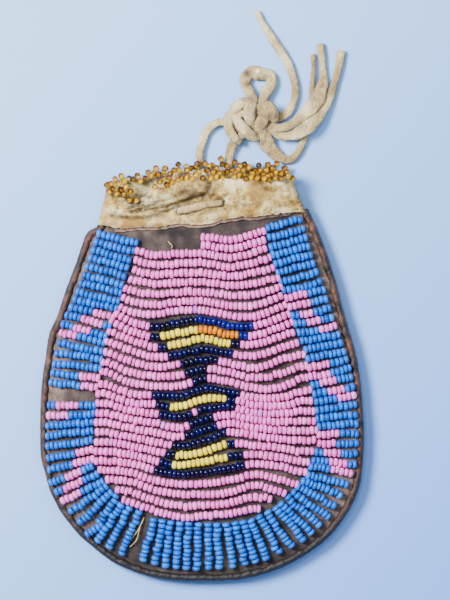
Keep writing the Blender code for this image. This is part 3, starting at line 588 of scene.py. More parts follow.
# %% A bead
BEAD = 2.16
BEAD_LENGTH = 1.2
BEAD_HOLE = 0.7
BEAD_STEPS = 14
BEAD_OUTLINE = 8
AMBER_BEAD = 1.65
THROUGH_LIGHT = np.array((0.6, -0.6, 0.5))
OUTLINE_FULLNESS = 1.25
THICKNESS_SPREAD = 0.04
MIDDLE_SHADE = 0.45
SHADE_SPREAD = 0.16


def bead_ring(diameter, length, hole):
    """Points and faces of one bead whose hole lies along X."""
    bulge = (diameter - hole) / 4 * OUTLINE_FULLNESS
    middle = diameter / 2 - bulge
    points = []
    for step in range(BEAD_STEPS):
        turn = 2 * math.pi * step / BEAD_STEPS
        for place in range(BEAD_OUTLINE):
            angle = 2 * math.pi * (place + 0.5) / BEAD_OUTLINE
            along = math.cos(angle) * length / 2
            out = middle + math.sin(angle) * bulge
            points.append((along, out * math.cos(turn), out * math.sin(turn)))
    faces = []
    for step in range(BEAD_STEPS):
        after = (step + 1) % BEAD_STEPS
        for place in range(BEAD_OUTLINE):
            beyond = (place + 1) % BEAD_OUTLINE
            faces.append((
                step * BEAD_OUTLINE + place, step * BEAD_OUTLINE + beyond,
                after * BEAD_OUTLINE + beyond, after * BEAD_OUTLINE + place,
            ))
    return np.array(points), np.array(faces)


def bead_turn(direction, tip):
    """Rotation that lays the hole along a direction, tipped at random and spun."""
    lay = direction.to_track_quat("X", "Z").to_matrix()
    sway = Matrix.Rotation(random.gauss(0, tip), 3, "Z") @ Matrix.Rotation(random.gauss(0, tip), 3, "Y")
    spin = Matrix.Rotation(random.uniform(0, 2 * math.pi), 3, "X")
    return np.array(lay @ sway @ spin)


print("points in one bead:", BEAD_STEPS * BEAD_OUTLINE)


# %% Stringing beads into a piece
def string_beads(
    name, glass, sites, replaced, diameter=BEAD, length=BEAD_LENGTH, tip=0.06, clear=0.0
):
    """One piece of many beads; a site is a centre, a direction and a length factor."""
    ring, ring_faces = bead_ring(diameter, length, BEAD_HOLE * diameter / BEAD)
    points = []
    faces = []
    shades = []
    for number, (centre, direction, stretch) in enumerate(sites):
        thick = random.gauss(1, THICKNESS_SPREAD)
        size = np.array((stretch, thick, thick))
        turned = (ring * size) @ bead_turn(direction, tip).T + np.array(centre)
        points.append(turned)
        faces.append(ring_faces + number * len(ring))
        # Painted light: the shade grows across each bead along THROUGH_LIGHT, as much as clear asks.
        painted_through_light = (turned - np.array(centre)) @ THROUGH_LIGHT / (diameter / 2)
        shades.append(np.clip(random.gauss(MIDDLE_SHADE, SHADE_SPREAD) + clear * painted_through_light, 0.0, 1.0))
    faces = np.concatenate(faces).tolist()
    piece = make_piece(name, np.concatenate(points), faces, glass, replaced)
    give_values(piece, "shade", np.concatenate(shades))
    print("  beads:", len(sites))


# %% [markdown]
# The middle of the front is twenty-nine rows, sewn across the pouch. They are not
# straight: they bow up at both ends and sag at two places where the hide has
# drawn in. The guide rows below give the height of some rows at nine places
# across, read in picture pixels, and the rows between are blended from them. A
# row's own ends come from a second list, because each stops where its beads ran
# out.

# %% Rows of the middle
GUIDE_ACROSS = (105, 130, 155, 180, 205, 230, 255, 280, 305)
GUIDE_ROWS = {
    1: (224, 229, 233, 236, 237, 239.8, 233.5, 225, 218),
    3: (236, 248, 255, 253.5, 253.5, 257.5, 252, 243, 233),
    6: (268, 279, 284, 282.8, 282.5, 285.5, 283, 277, 268),
    9: (300, 311.5, 314.5, 310.7, 310.6, 315.5, 316.5, 307, 298),
    10: (308, 321, 326.5, 322, 319.8, 325.8, 325.8, 317.5, 309),
    12: (330, 339.5, 347, 343.3, 338.8, 343.8, 344, 336.5, 329),
    14: (352, 361, 366.7, 364, 359.3, 363, 368, 360, 354),
    16: (372, 382.5, 386, 385.5, 378.7, 381.5, 388, 387.5, 377),
    17: (384, 393.5, 395, 396.3, 388.5, 391.5, 397.3, 397.7, 390.4),
    20: (413, 419, 422.5, 427.3, 419, 414.5, 420, 421.7, 421),
    22: (432, 436.7, 441.5, 446, 440.5, 431.8, 435.5, 439, 440.5),
    25: (461, 462.7, 470, 473.8, 472, 468, 463.8, 466.5, 472.5),
    27: (480, 481.5, 490, 494, 494.3, 492, 485, 492, 500),
    29: (496, 502, 510.5, 517.5, 515.5, 513.5, 508.8, 512, 515),
}
ROW_ENDS = (
    (203, 264), (203, 263.8), (137, 265), (136, 269), (134.5, 272.7), (130.6, 278),
    (125.6, 280.4), (123.6, 281), (120.7, 284.7), (116, 288.3), (111.5, 291.9),
    (109, 292.8), (106.3, 296.8), (105.8, 303.5), (102.7, 305.7), (101.8, 306),
    (100.9, 310), (97.8, 311), (97.8, 312.9), (97.8, 313.8), (96.4, 315.5),
    (97.3, 313.8), (96.4, 312), (96, 308), (96.4, 305.7), (100, 296.8), (107.6, 284.3),
    (117.4, 270), (124, 258.4),
)
BEAD_STEP = 4.6
print("rows read from the picture:", len(GUIDE_ROWS))


# %% Reading the rows
def smooth_read(places, values, place):
    """Value at a place of a smooth curve through the values at evenly set places."""
    step = places[1] - places[0]
    position = min(max((place - places[0]) / step, 0.0), len(values) - 1.001)
    index = int(position)
    t = position - index
    before = values[max(0, index - 1)]
    start, end = values[index], values[index + 1]
    after = values[min(len(values) - 1, index + 2)]
    pull = (end - before) * t
    bend = (2 * before - 5 * start + 4 * end - after) * t * t
    turn = (3 * start - before - 3 * end + after) * t ** 3
    return (2 * start + pull + bend + turn) / 2


def row_height(number, pixel_x):
    """Picture height of a middle row at a place across."""
    known = sorted(GUIDE_ROWS)
    above = max(row for row in known if row <= number)
    below = min(row for row in known if row >= number)
    high = smooth_read(GUIDE_ACROSS, GUIDE_ROWS[above], pixel_x)
    if above == below:
        return high
    low = smooth_read(GUIDE_ACROSS, GUIDE_ROWS[below], pixel_x)
    return lerp(high, low, (number - above) / (below - above))


print("rows:", len(ROW_ENDS))

# %% [markdown]
# The figure is a simple one of stacked triangles, drawn by changing bead colour
# along the rows. Each run below gives a colour and the centres of its first and
# last bead. Every bead that falls in no run is pink. A few odd beads, such as a
# lilac one in a pink row, stay: a bead worker used what was at hand.

# %% Colours along the rows
FIGURE_RUNS = {
    10: (("navy", 151, 197.5), ("royal", 199.5, 253)),
    11: (("navy", 151, 157.5), ("yellow", 162, 196), ("orange", 201, 234.7), ("royal", 238.5, 245)),
    12: (("navy", 159, 166), ("yellow", 170.4, 229.4), ("navy", 233.4, 240)),
    13: (("navy", 172, 232),),
    14: (("navy", 182.6, 214.6),),
    15: (("navy", 188.4, 206.7),),
    16: (("navy", 195.5, 205),),
    17: (("navy", 155.8, 239.6),),
    18: (("navy", 158.5, 165.2), ("yellow", 169.6, 224.5), ("navy", 228.5, 235.6)),
    19: (("navy", 159.8, 188), ("navy", 202, 235)),
    20: (("navy", 191, 209.8),),
    21: (("navy", 185.3, 216),),
    22: (("navy", 173.2, 225.8),),
    23: (("navy", 167, 174), ("yellow", 178.5, 222.5), ("navy", 226.7, 233.8)),
    24: (("navy", 161.6, 168.3), ("yellow", 174, 227.5), ("navy", 231.6, 238.8)),
    25: (("navy", 158, 241),),
}
ODD_BEADS = {(9, 197): "lilac", (23, 111): "lilac", (19, 262): "lilac", (20, 161): "lilac"}
HALF_STEP = BEAD_STEP / 2
print("rows with a figure:", len(FIGURE_RUNS))

# %% Spacing and seating the beads
SHORTEST_BEAD = 0.72
LENGTH_SPREAD = 0.11
ABOVE_HIDE = 0.12
SLOPE_MM = 1.5
CLEARANCE = 0.97
ROW_WANDER = 0.35
SLOPE_PIXELS = 3
LEFT_OF_FIGURE = 197


def thread_up(total):
    """Beads that fill a strand of this length in pixels: (middle, length) pairs."""
    count = max(1, round(total / BEAD_STEP))
    lengths = [max(SHORTEST_BEAD, random.gauss(1, LENGTH_SPREAD)) for _ in range(count)]
    fit = total / sum(lengths)
    beads = []
    used = 0.0
    for length in lengths:
        beads.append((used + length * fit / 2, length * fit))
        used += length * fit
    return beads


def row_colour(number, pixel_x):
    """Colour of the bead at a place across a middle row."""
    for (row, place), colour in ODD_BEADS.items():
        if row == number and abs(place - pixel_x) < HALF_STEP:
            return colour
    for colour, first, last in FIGURE_RUNS.get(number, ()):
        if first - HALF_STEP <= pixel_x <= last + HALF_STEP:
            return colour
    return "pink"


def settle(place, flat_direction, pixels_long):
    """Site of a bead that rests on the front panel."""
    step = flat_direction.normalized() * SLOPE_MM
    here = front_outside(place.x, place.y)
    rise = front_outside(place.x + step.x, place.y + step.y)
    fall = front_outside(place.x - step.x, place.y - step.y)
    centre = Vector((place.x, place.y, here + ABOVE_HIDE + BEAD / 2))
    stretch = pixels_long * PIXEL / BEAD_LENGTH * CLEARANCE
    return centre, Vector((step.x * 2, step.y * 2, rise - fall)).normalized(), stretch


def middle_region(number, pixel_x):
    """Name of the field that a pink bead of the middle belongs to."""
    if number < min(FIGURE_RUNS):
        return "pink_rows_upper"
    if number > max(FIGURE_RUNS):
        return "pink_rows_lower"
    return "pink_rows_left" if pixel_x < LEFT_OF_FIGURE else "pink_rows_right"


# %% Beads of the middle rows
strung = {}
for row, (first, last) in enumerate(ROW_ENDS, start=1):
    for middle, length in thread_up(last - first + BEAD_STEP):
        across = first - HALF_STEP + middle
        height = row_height(row, across) + random.gauss(0, ROW_WANDER)
        ahead = row_height(row, across + SLOPE_PIXELS) - row_height(row, across - SLOPE_PIXELS)
        site = settle(spot(across, height), Vector((2 * SLOPE_PIXELS, -ahead)), length)
        colour = row_colour(row, across)
        field = middle_region(row, across) if colour == "pink" else colour + "_figure"
        strung.setdefault(field, []).append(site)
print({field: len(sites) for field, sites in strung.items()})

# %% [markdown]
# The border is one lane of short strands, set square to the rim like the rays of
# a fan. They are numbered from the top left corner, round the bottom, to the top
# right one. Some of them are read from the picture, outer end first, and the rest
# are blended between these. The pink runs are the short arms that stick out of
# the figure into the blue.

# %% Strands of the border
LANE_GUIDES = {
    1: ((98.9, 233.8), (136.5, 242.7)), 3: ((93, 249.7), (129.5, 260)),
    6: ((84.2, 275.3), (121.8, 284.8)), 9: ((74.6, 299.5), (116.7, 308.4)),
    12: ((63.2, 323.7), (105.9, 335.8)), 14: ((59.3, 343), (101.4, 351)),
    16: ((54.2, 364), (100, 368.4)), 18: ((51, 382.4), (96.3, 387.5)),
    19: ((49.4, 405.4), (94.3, 405.4)), 21: ((47.6, 426.2), (92.3, 422.2)),
    23: ((47.6, 446.3), (91, 440.3)), 25: ((49.4, 469.7), (93, 459)),
    26: ((51.0, 483), (91.6, 466.4)), 28: ((62.6, 501.2), (102.3, 481.8)),
    29: ((71, 512), (106.3, 487)), 31: ((88.4, 533), (116.4, 498)),
    32: ((98, 540.6), (121, 505)), 34: ((121, 552.8), (138.5, 512)),
    35: ((142.5, 559.5), (153.2, 520)), 37: ((165.3, 566), (170, 522.6)),
    40: ((197, 568.5), (198, 524.7)), 43: ((232.9, 566.2), (226.8, 524.7)),
    46: ((266.4, 558.2), (251.6, 520.7)), 49: ((303, 540), (275.7, 508.6)),
    52: ((328, 516.6), (293.2, 492.5)), 55: ((346.2, 484.5), (308, 475)),
    56: ((350.7, 473.8), (310.6, 467)), 57: ((354.3, 464.4), (313.2, 460.4)),
    59: ((356.4, 443.6), (319.3, 443.6)), 61: ((356.2, 423.5), (318.6, 426.9)),
    64: ((354.4, 396), (315.9, 402)), 67: ((349, 368.4), (310.5, 376.7)),
    70: ((341, 343.5), (305.4, 349.2)), 73: ((331.6, 317.3), (295.2, 323.7)),
    76: ((323.3, 290), (286.3, 298.2)), 79: ((313, 263.8), (278, 272.7)),
    82: ((305.4, 237.6), (270.4, 246.6)), 84: ((300.3, 219.8), (267.8, 228)),
}
ARM_RUNS = {
    10: (95, 111.6), 11: (84.8, 99.5), 12: (75.3, 90), 13: (60.6, 74.6),
    17: (81, 97.6), 18: (81, 96.3), 19: (58.8, 75.5), 20: (48.7, 65.5),
    24: (76.2, 91.6), 25: (76.2, 93), 26: (66.8, 81), 27: (65.5, 79), 28: (62, 77),
    76: (286, 305), 75: (291, 307), 74: (300, 312.4), 73: (308, 319), 72: (319, 334),
    68: (311, 328), 67: (310, 328.4), 66: (322.7, 336), 65: (331, 344.3), 64: (341, 355.4),
    60: (320, 335), 59: (319, 335), 58: (326.6, 340), 57: (330, 345.4), 56: (334.7, 350.7),
}
BROKEN_STRAND = 31
BROKEN_PARTS = (((98.6, 521.5), (116.4, 496.5)), ((87.6, 533.8), (102, 525.6)))
LAST_LEFT = 28
FIRST_RIGHT = 56
print("strands read from the picture:", len(LANE_GUIDES))

# %% Laying the strands
STRAND_BOW = 0.6
FAN_WANDER = 0.55
SIDE_WANDER = 0.35


def lane_ends(number):
    """Outer and inner end of a border strand, in picture pixels."""
    known = sorted(LANE_GUIDES)
    before = max(strand for strand in known if strand <= number)
    after = min(strand for strand in known if strand >= number)
    share = 0.0 if before == after else (number - before) / (after - before)
    return [
        Vector(LANE_GUIDES[before][end]).lerp(Vector(LANE_GUIDES[after][end]), share)
        for end in (0, 1)
    ]


def lane_field(number, pink):
    """Name of the field that a bead of a border strand belongs to."""
    if pink:
        return "pink_arms_left" if number <= LAST_LEFT else "pink_arms_right"
    if number <= LAST_LEFT:
        return "blue_lane_left"
    return "blue_lane_right" if number >= FIRST_RIGHT else "blue_fan_strands"


def lay_strand(number, outer, inner):
    """Thread one border strand from its inner end to its outer one."""
    run = outer - inner
    way = run.normalized()
    sideways = Vector((-way.y, way.x))
    bow = random.gauss(0, STRAND_BOW)
    wander = FAN_WANDER if LAST_LEFT < number < FIRST_RIGHT else SIDE_WANDER
    start = inner - way * HALF_STEP
    total = run.length + BEAD_STEP
    for middle, length in thread_up(total):
        place = start + way * middle
        place += sideways * (bow * math.sin(math.pi * middle / total) + random.gauss(0, wander))
        low, high = ARM_RUNS.get(number, (0, 0))
        pink = low - HALF_STEP <= place.x <= high + HALF_STEP
        site = settle(spot(*place), Vector((run.x, -run.y)), length)
        strung.setdefault(lane_field(number, pink), []).append(site)


for number in range(1, max(LANE_GUIDES) + 1):
    if number == BROKEN_STRAND:
        for outer, inner in BROKEN_PARTS:
            lay_strand(number, Vector(outer), Vector(inner))
    else:
        lay_strand(number, *lane_ends(number))
print("border strands:", max(LANE_GUIDES))

# %% [markdown]
# Now the beads can be threaded: one piece for each field and colour. Each piece
# names the plain solids that it stands for, so those are hidden in the picture.

# %% Threading the beads
THIRDS = ("upper", "middle", "lower")
NAVY_NODES = (
    "navy_crown_left", "navy_crown_right", "navy_waist", "navy_bar_left",
    "navy_foot", "navy_foot_left", "navy_foot_right", "navy_foot_base",
)
FIELDS = (
    ("pink_rows_upper", PINK_GLASS, ("pink_upper",), "pink_bead"),
    ("pink_rows_left", PINK_GLASS, ("pink_left",), "pink_bead"),
    ("pink_rows_right", PINK_GLASS, ("pink_right",), "pink_bead"),
    ("pink_rows_lower", PINK_GLASS, ("pink_lower",), "pink_bead"),
    ("pink_arms_left", PINK_GLASS, tuple(f"pink_arm_left_{part}" for part in THIRDS), "pink_bead"),
    ("pink_arms_right", PINK_GLASS, tuple(f"pink_arm_right_{part}" for part in THIRDS), "pink_bead"),
    ("blue_lane_left", BLUE_GLASS, tuple(f"blue_left_{part}" for part in THIRDS), "blue_bead"),
    ("blue_lane_right", BLUE_GLASS, tuple(f"blue_right_{part}" for part in THIRDS), "blue_bead"),
    ("blue_fan_strands", BLUE_GLASS, ("blue_fan_left", "blue_fan"), "blue_bead"),
    ("navy_figure", NAVY_GLASS, NAVY_NODES, "navy_bead"),
    ("royal_figure", ROYAL_GLASS, ("royal_crown_right",), "royal_bead"),
    ("yellow_figure", YELLOW_GLASS, ("yellow_crown", "yellow_bar", "yellow_foot"), "yellow_bead"),
    ("orange_figure", ORANGE_GLASS, ("orange_crown",), "orange_bead"),
    ("lilac_figure", LILAC_GLASS, (), "pink_bead"),
)
for name, glass, replaced, slot in FIELDS:
    string_beads(name, glass, strung[name], replaced)

# %% [markdown]
# The rim is read from the picture too, because the real one is not quite even.
# Straight lines between the points would show as corners, so they are joined by
# a smooth curve, which is then cut into even steps of half a millimetre.


# %% The rim's line
def smooth_line(points, spacing):
    """A smooth curve through the points, cut into even steps."""
    known = np.array(points, dtype=float)
    padded = np.vstack((2 * known[0] - known[1], known, 2 * known[-1] - known[-2]))
    t = np.linspace(0, 1, 40, endpoint=False)[:, None]
    parts = []
    for before, start, end, after in zip(padded, padded[1:], padded[2:], padded[3:]):
        parts.append((
            2 * start + (end - before) * t + (2 * before - 5 * start + 4 * end - after) * t ** 2
            + (3 * start - before - 3 * end + after) * t ** 3
        ) / 2)
    dense = np.vstack((*parts, known[-1:]))
    steps = np.linalg.norm(np.diff(dense[:, :3], axis=0), axis=1)
    marks = np.concatenate(([0.0], np.cumsum(steps)))
    count = max(2, round(marks[-1] / spacing) + 1)
    reads = np.linspace(0, marks[-1], count)
    return np.stack([np.interp(reads, marks, dense[:, axis]) for axis in range(dense.shape[1])], axis=1)


RIM_STEP = 0.5
RIM_PIXELS = (
    (98.6, 220.5), (97.0, 226), (86, 233.5), (76, 261), (64.4, 292), (56.8, 315), (48.6, 334), (44.6, 359),
    (41.6, 379), (40.0, 399), (39.4, 420), (39.6, 449), (40.6, 460), (44.2, 472.8), (48.8, 490.2),
    (54.8, 502.8), (60.0, 512.4), (69.6, 525.4), (79.8, 537.2), (91.4, 547.0), (102.6, 556.2),
    (115.0, 564.6), (129.8, 571.2), (149.2, 577.6), (172, 581.4), (192, 582.3), (216.8, 582.2),
    (243.8, 580), (271, 573), (298, 560.6), (325, 542), (342.4, 522), (354.4, 501.8),
    (361, 482.7), (364, 454), (364.4, 427), (362.6, 399), (360.6, 378.8), (355.9, 352.7), (344.9, 314.4),
    (335.2, 278.2), (323.7, 243.8), (314.7, 222), (309.2, 210.4), (308.0, 206),
)
rim_line = smooth_line([spot(*pixel) for pixel in RIM_PIXELS], RIM_STEP)
rim_run = np.gradient(rim_line, axis=0)
rim_run /= np.linalg.norm(rim_run, axis=1)[:, None]
rim_inward = np.stack((-rim_run[:, 1], rim_run[:, 0]), axis=1)
print("rim stations:", len(rim_line))

# %% [markdown]
# Each hide is a sheet that runs from the middle of the pouch out to the rim. It
# rides on the height function, with a little unevenness: broad waves where the
# hide has dried, and on the front short puckers that run in from the rim, where
# the binding was pulled tight. Cloth could be draped for this, but a set hide has
# one shape. It is a little over 1 mm thick, so a Solidify modifier gives it a
# second face and an edge. The front shows most between the rows, where painted
# shade darkens it, and just below the collar, where a painted shadow lies.

# %% Smudges and painted shade on the hides
ROW_SHADE_UP_TO = (0.82, 0.92)
BOTTOM_SHADE = (32.0, 46.0)
ROW_SHADE = 0.85
# The first nineteen spots lie just below the collar's edge and are a painted shadow; the last four are
# smudges.
SMUDGES_AND_SHADOWS = (
    ((112, 232), 1.3, 0.8), ((122, 233), 1.5, 0.85), ((132, 233), 1.6, 0.95), ((142, 233.5), 1.8, 1.0),
    ((152, 233.5), 1.9, 1.0), ((162, 234), 2.1, 1.0), ((172, 234), 2.2, 1.0), ((182, 234), 2.3, 1.0),
    ((192, 233), 2.2, 1.0), ((202, 231), 1.9, 1.0), ((212, 228), 1.6, 0.9), ((224, 225), 1.4, 0.85),
    ((164, 240), 4.0, 0.8), ((184, 241), 4.0, 0.85), ((203, 236), 3.5, 0.8),
    ((238, 222), 1.3, 0.8), ((252, 221), 1.3, 0.8), ((266, 219), 1.2, 0.75), ((182, 241), 2.0, 0.7),
    ((246, 318), 2.6, 0.35), ((262, 392), 3.0, 0.3), ((316, 236), 2.0, 0.4), ((121, 561), 1.0, 0.5),
)


print("smudges:", len(SMUDGES_AND_SHADOWS))


def smudge_and_shade_at(x, y):
    """How dark a point is: painted shadow below the collar, smudges, painted shade among the rows and low
    down.
    """
    here = Vector((x, y))
    patch = max(
        strength * math.exp(-((here - spot(*pixel)).length / size) ** 2)
        for pixel, size, strength in SMUDGES_AND_SHADOWS
    )
    # Painted shade darkens the hide among the bead rows, away from the rim, and towards the bottom.
    inside = 1.0 - smoothstep(*ROW_SHADE_UP_TO, edge_share(x, y))
    painted_shade = ROW_SHADE * max(inside, smoothstep(*BOTTOM_SHADE, -y))
    uneven = 0.9 + 0.4 * noise.noise(Vector((x, y, 0.0)) * 0.35)
    return min(1.0, max(patch, painted_shade) * uneven)


# %% Front and back hides
PANEL_INSET = 1.0
PANEL_RINGS = 46
TOP_STEPS = 110
HIDE_MIDDLE = (0.0, -3.0)
HIDE_SHARE = 0.9
PUCKER_START = 0.82
PUCKERS = 95


def hide_sheet(name, height, tongue, material, replaced):
    """A hide whose top edge reaches past the panel's own by tongue."""
    edge = rim_line + rim_inward * PANEL_INSET
    edge = edge[[y < top_edge(x) + tongue for x, y in edge]]
    reach_left, reach_right = edge[0, 0], edge[-1, 0]
    top = [
        (x, top_edge(x) + tongue)
        for x in np.linspace(reach_right - 0.3, reach_left + 0.3, TOP_STEPS)
    ]
    outline = np.vstack((edge, top))
    middle = np.array(HIDE_MIDDLE)
    points = []
    for ring in range(PANEL_RINGS):
        share = ((ring + 0.4) / (PANEL_RINGS - 0.6)) ** 0.85
        for place in outline:
            x, y = middle + (place - middle) * share
            points.append((x, y, height(x, y)))
    faces = grid_faces(PANEL_RINGS, len(outline), closed=True)
    hub = len(points)
    points.append((*middle, height(*middle)))
    piece = make_piece(name, points, faces, material, replaced)
    work = bmesh.new()
    work.from_mesh(piece.data)
    work.verts.ensure_lookup_table()
    for place in range(len(outline)):
        after = (place + 1) % len(outline)
        work.faces.new((work.verts[hub], work.verts[place], work.verts[after])).smooth = True
    bmesh.ops.recalc_face_normals(work, faces=work.faces)
    work.to_mesh(piece.data)
    work.free()
    give_values(piece, "smudge_and_shade", [smudge_and_shade_at(*point[:2]) for point in points])
    thick = piece.modifiers.new("hide thickness", "SOLIDIFY")
    thick.thickness = HIDE * MM * HIDE_SHARE
    thick.offset = -1


# %% Laying the hides
def front_height(x, y):
    pucker = max(0.0, edge_share(x, y) - PUCKER_START) / (1 - PUCKER_START)
    around = math.atan2(y + 5, x)
    return (
        front_outside(x, y)
        + 0.06 * wobble(x, y, 5.0, 1.3)
        + 0.1 * pucker * math.sin(around * PUCKERS + 3 * wobble(x, y, 9.0, 4.1))
    )


def back_height(x, y):
    share = edge_share(x, y)
    return back_outside(x, y) + 0.1 + 0.05 * share * (1 + wobble(x, y, 7.0, 2.2))


hide_sheet("hide_front", front_height, 1.2, PANEL_HIDE, ("front_panel",))
hide_sheet("hide_back", back_height, 0.0, BACK_HIDE, ("back_panel",))

# %% [markdown]
# The binding is a strip of hide rolled over the edge. Its section is a rounded
# band that reaches from under the back, round the outside, to over the front,
# where it stands up as a roll. It is lumpy, because it was sewn by hand: the roll
# swells between stitches, about every 3 mm, and pinches at them. A bevelled curve
# would be the same all along, so each station of the rim gets its own section.

# %% Edge binding
BINDING_REACH = 2.25
ROLL_HEIGHT = 0.95
STITCH_MM = 3.1
SECTION_STEPS = 18


def binding_section(number):
    """Closed section at one station of the rim: (distance inward, height) pairs."""
    place, inward = rim_line[number], rim_inward[number]
    along = number * RIM_STEP
    swell = 0.5 + 0.5 * math.cos(2 * math.pi * along / STITCH_MM + 1.5 * math.sin(along / 11.0))
    rough = noise.fractal(Vector((place[0], place[1], 3.0)) * 0.45, 0.8, 2.1, 4)
    lump = 0.85 + 0.1 * swell + 0.32 * rough
    low = max(0.08, back_outside(*(place + inward * BINDING_REACH)) - 1.0)
    high = front_outside(*(place + inward * PANEL_INSET)) + GAP + ROLL_HEIGHT * lump
    middle = (low + high) / 2
    reach = BINDING_REACH * (0.93 + 0.08 * swell + 0.14 * rough)
    section = []
    for step in range(SECTION_STEPS):
        angle = 2 * math.pi * step / SECTION_STEPS
        across = math.copysign(abs(math.cos(angle)) ** 0.75, -math.cos(angle))
        rise = math.copysign(abs(math.sin(angle)) ** 0.8, math.sin(angle))
        grain = 0.1 * noise.noise(Vector((place[0] * 0.9, place[1] * 0.9, step * 0.8)))
        section.append((reach / 2 + across * (reach / 2 + grain), middle + rise * (high - middle + grain)))
    return section


binding_points = []
for number in range(1, len(rim_line) - 1):
    for inset, height in binding_section(number):
        place = rim_line[number] + rim_inward[number] * inset
        binding_points.append((place[0], place[1], height))
binding_rows = len(rim_line) - 2
binding_faces = grid_faces(binding_rows, SECTION_STEPS, closed=True)
binding = make_piece(
    "edge_binding_roll", binding_points, binding_faces, BINDING_HIDE, ("edge_binding",)
)
# The bottom of the rim gets painted shade.
give_values(binding, "smudge_and_shade", [smoothstep(*BOTTOM_SHADE, -point[1]) for point in binding_points])
print("binding stations:", binding_rows)

# %% [markdown]
# The collar is a tube of rawhide, flattened, with its front lip a little below
# its back one. Its edges are read from the picture. The front is pressed into
# folds. A cloth simulation could crease it, but never in the same places, so each
# crease below is a line with a depth and a width, and a soft roll stands just
# above it. The same lines darken the material with painted shade in each fold.

# %% Shape of the collar
COLLAR_WALL = 1.1
COLLAR_EASE = 0.5
COLLAR_POWER = 2.6
COLLAR_AROUND = 480
COLLAR_ALONG = 90
COLLAR_EDGE = (
    (97.6, 220.5), (99, 224), (104, 226), (112, 228.5), (121, 229), (137, 227.5), (150, 227), (158, 227.5),
    (170, 225), (180, 223.5), (195, 225), (207, 224.5), (217, 221.5), (226, 219.5), (240, 217),
    (252, 217.3), (265, 215.5), (284, 213), (300, 211), (306, 209.5),
)
FRONT_LIP = (
    (104, 194), (109, 193.5), (114.6, 194), (123, 198), (128, 201.6), (136.8, 203), (141.4, 200.5),
    (145, 197), (149, 192.5), (152, 189.5), (156, 186.5), (163, 187), (166.5, 188), (173.4, 183),
    (185, 181), (198, 180.5), (210, 180), (216, 181.5), (222, 178.5), (243, 179.5), (256, 180.5),
    (281, 179.5), (291, 174),
)
BACK_LIP = (
    (104, 186), (115, 180), (130, 178), (145, 175), (160, 171.5), (180, 169), (220, 168), (260, 169),
    (291, 172),
)
LEFT_SIDE = (-27.1, -26.4, -25.6, -25.1, -24.9)
RIGHT_SIDE = (27.0, 25.7, 24.4, 23.9, 22.9)
SIDE_MARKS = (0.0, 0.3, 0.6, 0.8, 1.0)
STITCH_ENDS = ((-5.8, 41.2), (5.0, 43.4))
print("points along the front lip:", len(FRONT_LIP))

# %% [markdown]
# The lists below hold picture points. A crease goes on with its depth, its width
# and how much painted shade it gets, and a patch of painted fold shade or an ochre
# patch with its width and strength.
# The step line is where the left part of the front dips below the right one.

# %% Where the folds and stains lie
CREASES = (
    (((212, 178), (210, 186), (207, 192), (203, 198)), 0.7, 0.7, 1.0),
    (((205, 195), (198, 196.5), (186, 201), (176, 204), (166, 207), (156, 208.5), (144, 210), (132, 212)),
     0.95, 0.85, 1.0),
    (((112, 216), (124, 217.5), (136, 218.5), (148, 218), (160, 214.5), (170, 210.5), (180, 205.5)),
     0.75, 0.8, 0.85),
    (((130, 208.5), (139, 205.5), (148, 207), (157, 204)), 0.5, 0.7, 0.8),
    (((186, 192), (178, 196), (168, 200), (158, 202)), 0.45, 0.7, 0.7),
    (((153, 211), (163, 212), (174, 208.5)), 0.3, 0.6, 0.6),
    (((226, 196), (222, 201), (221, 206)), 0.35, 0.7, 0.6),
    (((214, 213), (236, 207), (262, 204)), 0.3, 1.3, 0.3),
    (((262, 184), (268, 190), (284, 191)), 0.35, 0.8, 0.4),
    (((112, 197), (118, 206), (116, 214)), 0.3, 0.9, 0.3),
    (((286, 180), (290, 190), (293, 202)), 0.35, 0.8, 0.4),
    (((300, 202), (292, 206), (278, 207)), 0.25, 0.8, 0.35),
    (((127, 201), (135, 204), (143, 202)), 0.6, 0.9, 0.9),
    (((180, 213), (198, 216), (216, 212)), 0.3, 0.8, 0.35),
)
STEP_LINE = ((212, 178), (209.5, 186), (206, 193), (201, 199))
FOLD_SHADES = (
    (((206, 182), (198, 190), (186, 195)), 2.3, 0.7), (((180, 191), (166, 198), (150, 203)), 1.7, 0.42),
    (((208, 188), (204, 196)), 1.5, 0.75), (((134, 204), (146, 199)), 1.9, 0.75),
    (((126, 203), (138, 207)), 1.3, 0.6), (((203, 199), (180, 205), (150, 211), (132, 213)), 0.9, 0.4),
    (((116, 218), (140, 220), (164, 216)), 0.9, 0.45),
    (((98, 224), (130, 227), (160, 226)), 0.9, 0.55), (((176, 223), (230, 218), (280, 213)), 0.7, 0.4),
    (((292, 178), (296, 195)), 1.3, 0.4), (((140, 182), (152, 180)), 3.0, 0.6),
    (((255, 186), (266, 189)), 1.4, 0.35),
)
OCHRES = (
    (((102, 208), (110, 221), (135, 224)), 2.6, 0.8), (((160, 219), (174, 220)), 2.0, 0.6),
    (((250, 188), (272, 196), (286, 204)), 2.6, 0.6), (((238, 212), (262, 208)), 1.7, 0.5),
    (((200, 218), (230, 213)), 1.6, 0.45), (((118, 201), (124, 206)), 1.6, 0.5),
    (((296, 200), (302, 207)), 1.6, 0.6), (((146, 213), (160, 211)), 1.3, 0.4),
)


print("creases:", len(CREASES))


# %% Heights and distances on the collar
def read_edge(pixels, x):
    """Y in millimetres at x of an edge given by picture points."""
    places = [spot(*pixel) for pixel in pixels]
    return float(np.interp(x, [place.x for place in places], [place.y for place in places]))


def flare(y):
    """0 where the collar leaves the pouch and 1 where it has opened out."""
    return smoothstep(40.5, 46.0, y)


def collar_back_height(y):
    """Underside of the collar's back wall."""
    return lerp(GAP, 2.25, flare(y))


def collar_front_height(y):
    """Top of the collar's front wall, without its folds."""
    return MOUTH_SPACE + 2 * HIDE + GAP + COLLAR_EASE + COLLAR_WALL + 1.1 * flare(y)


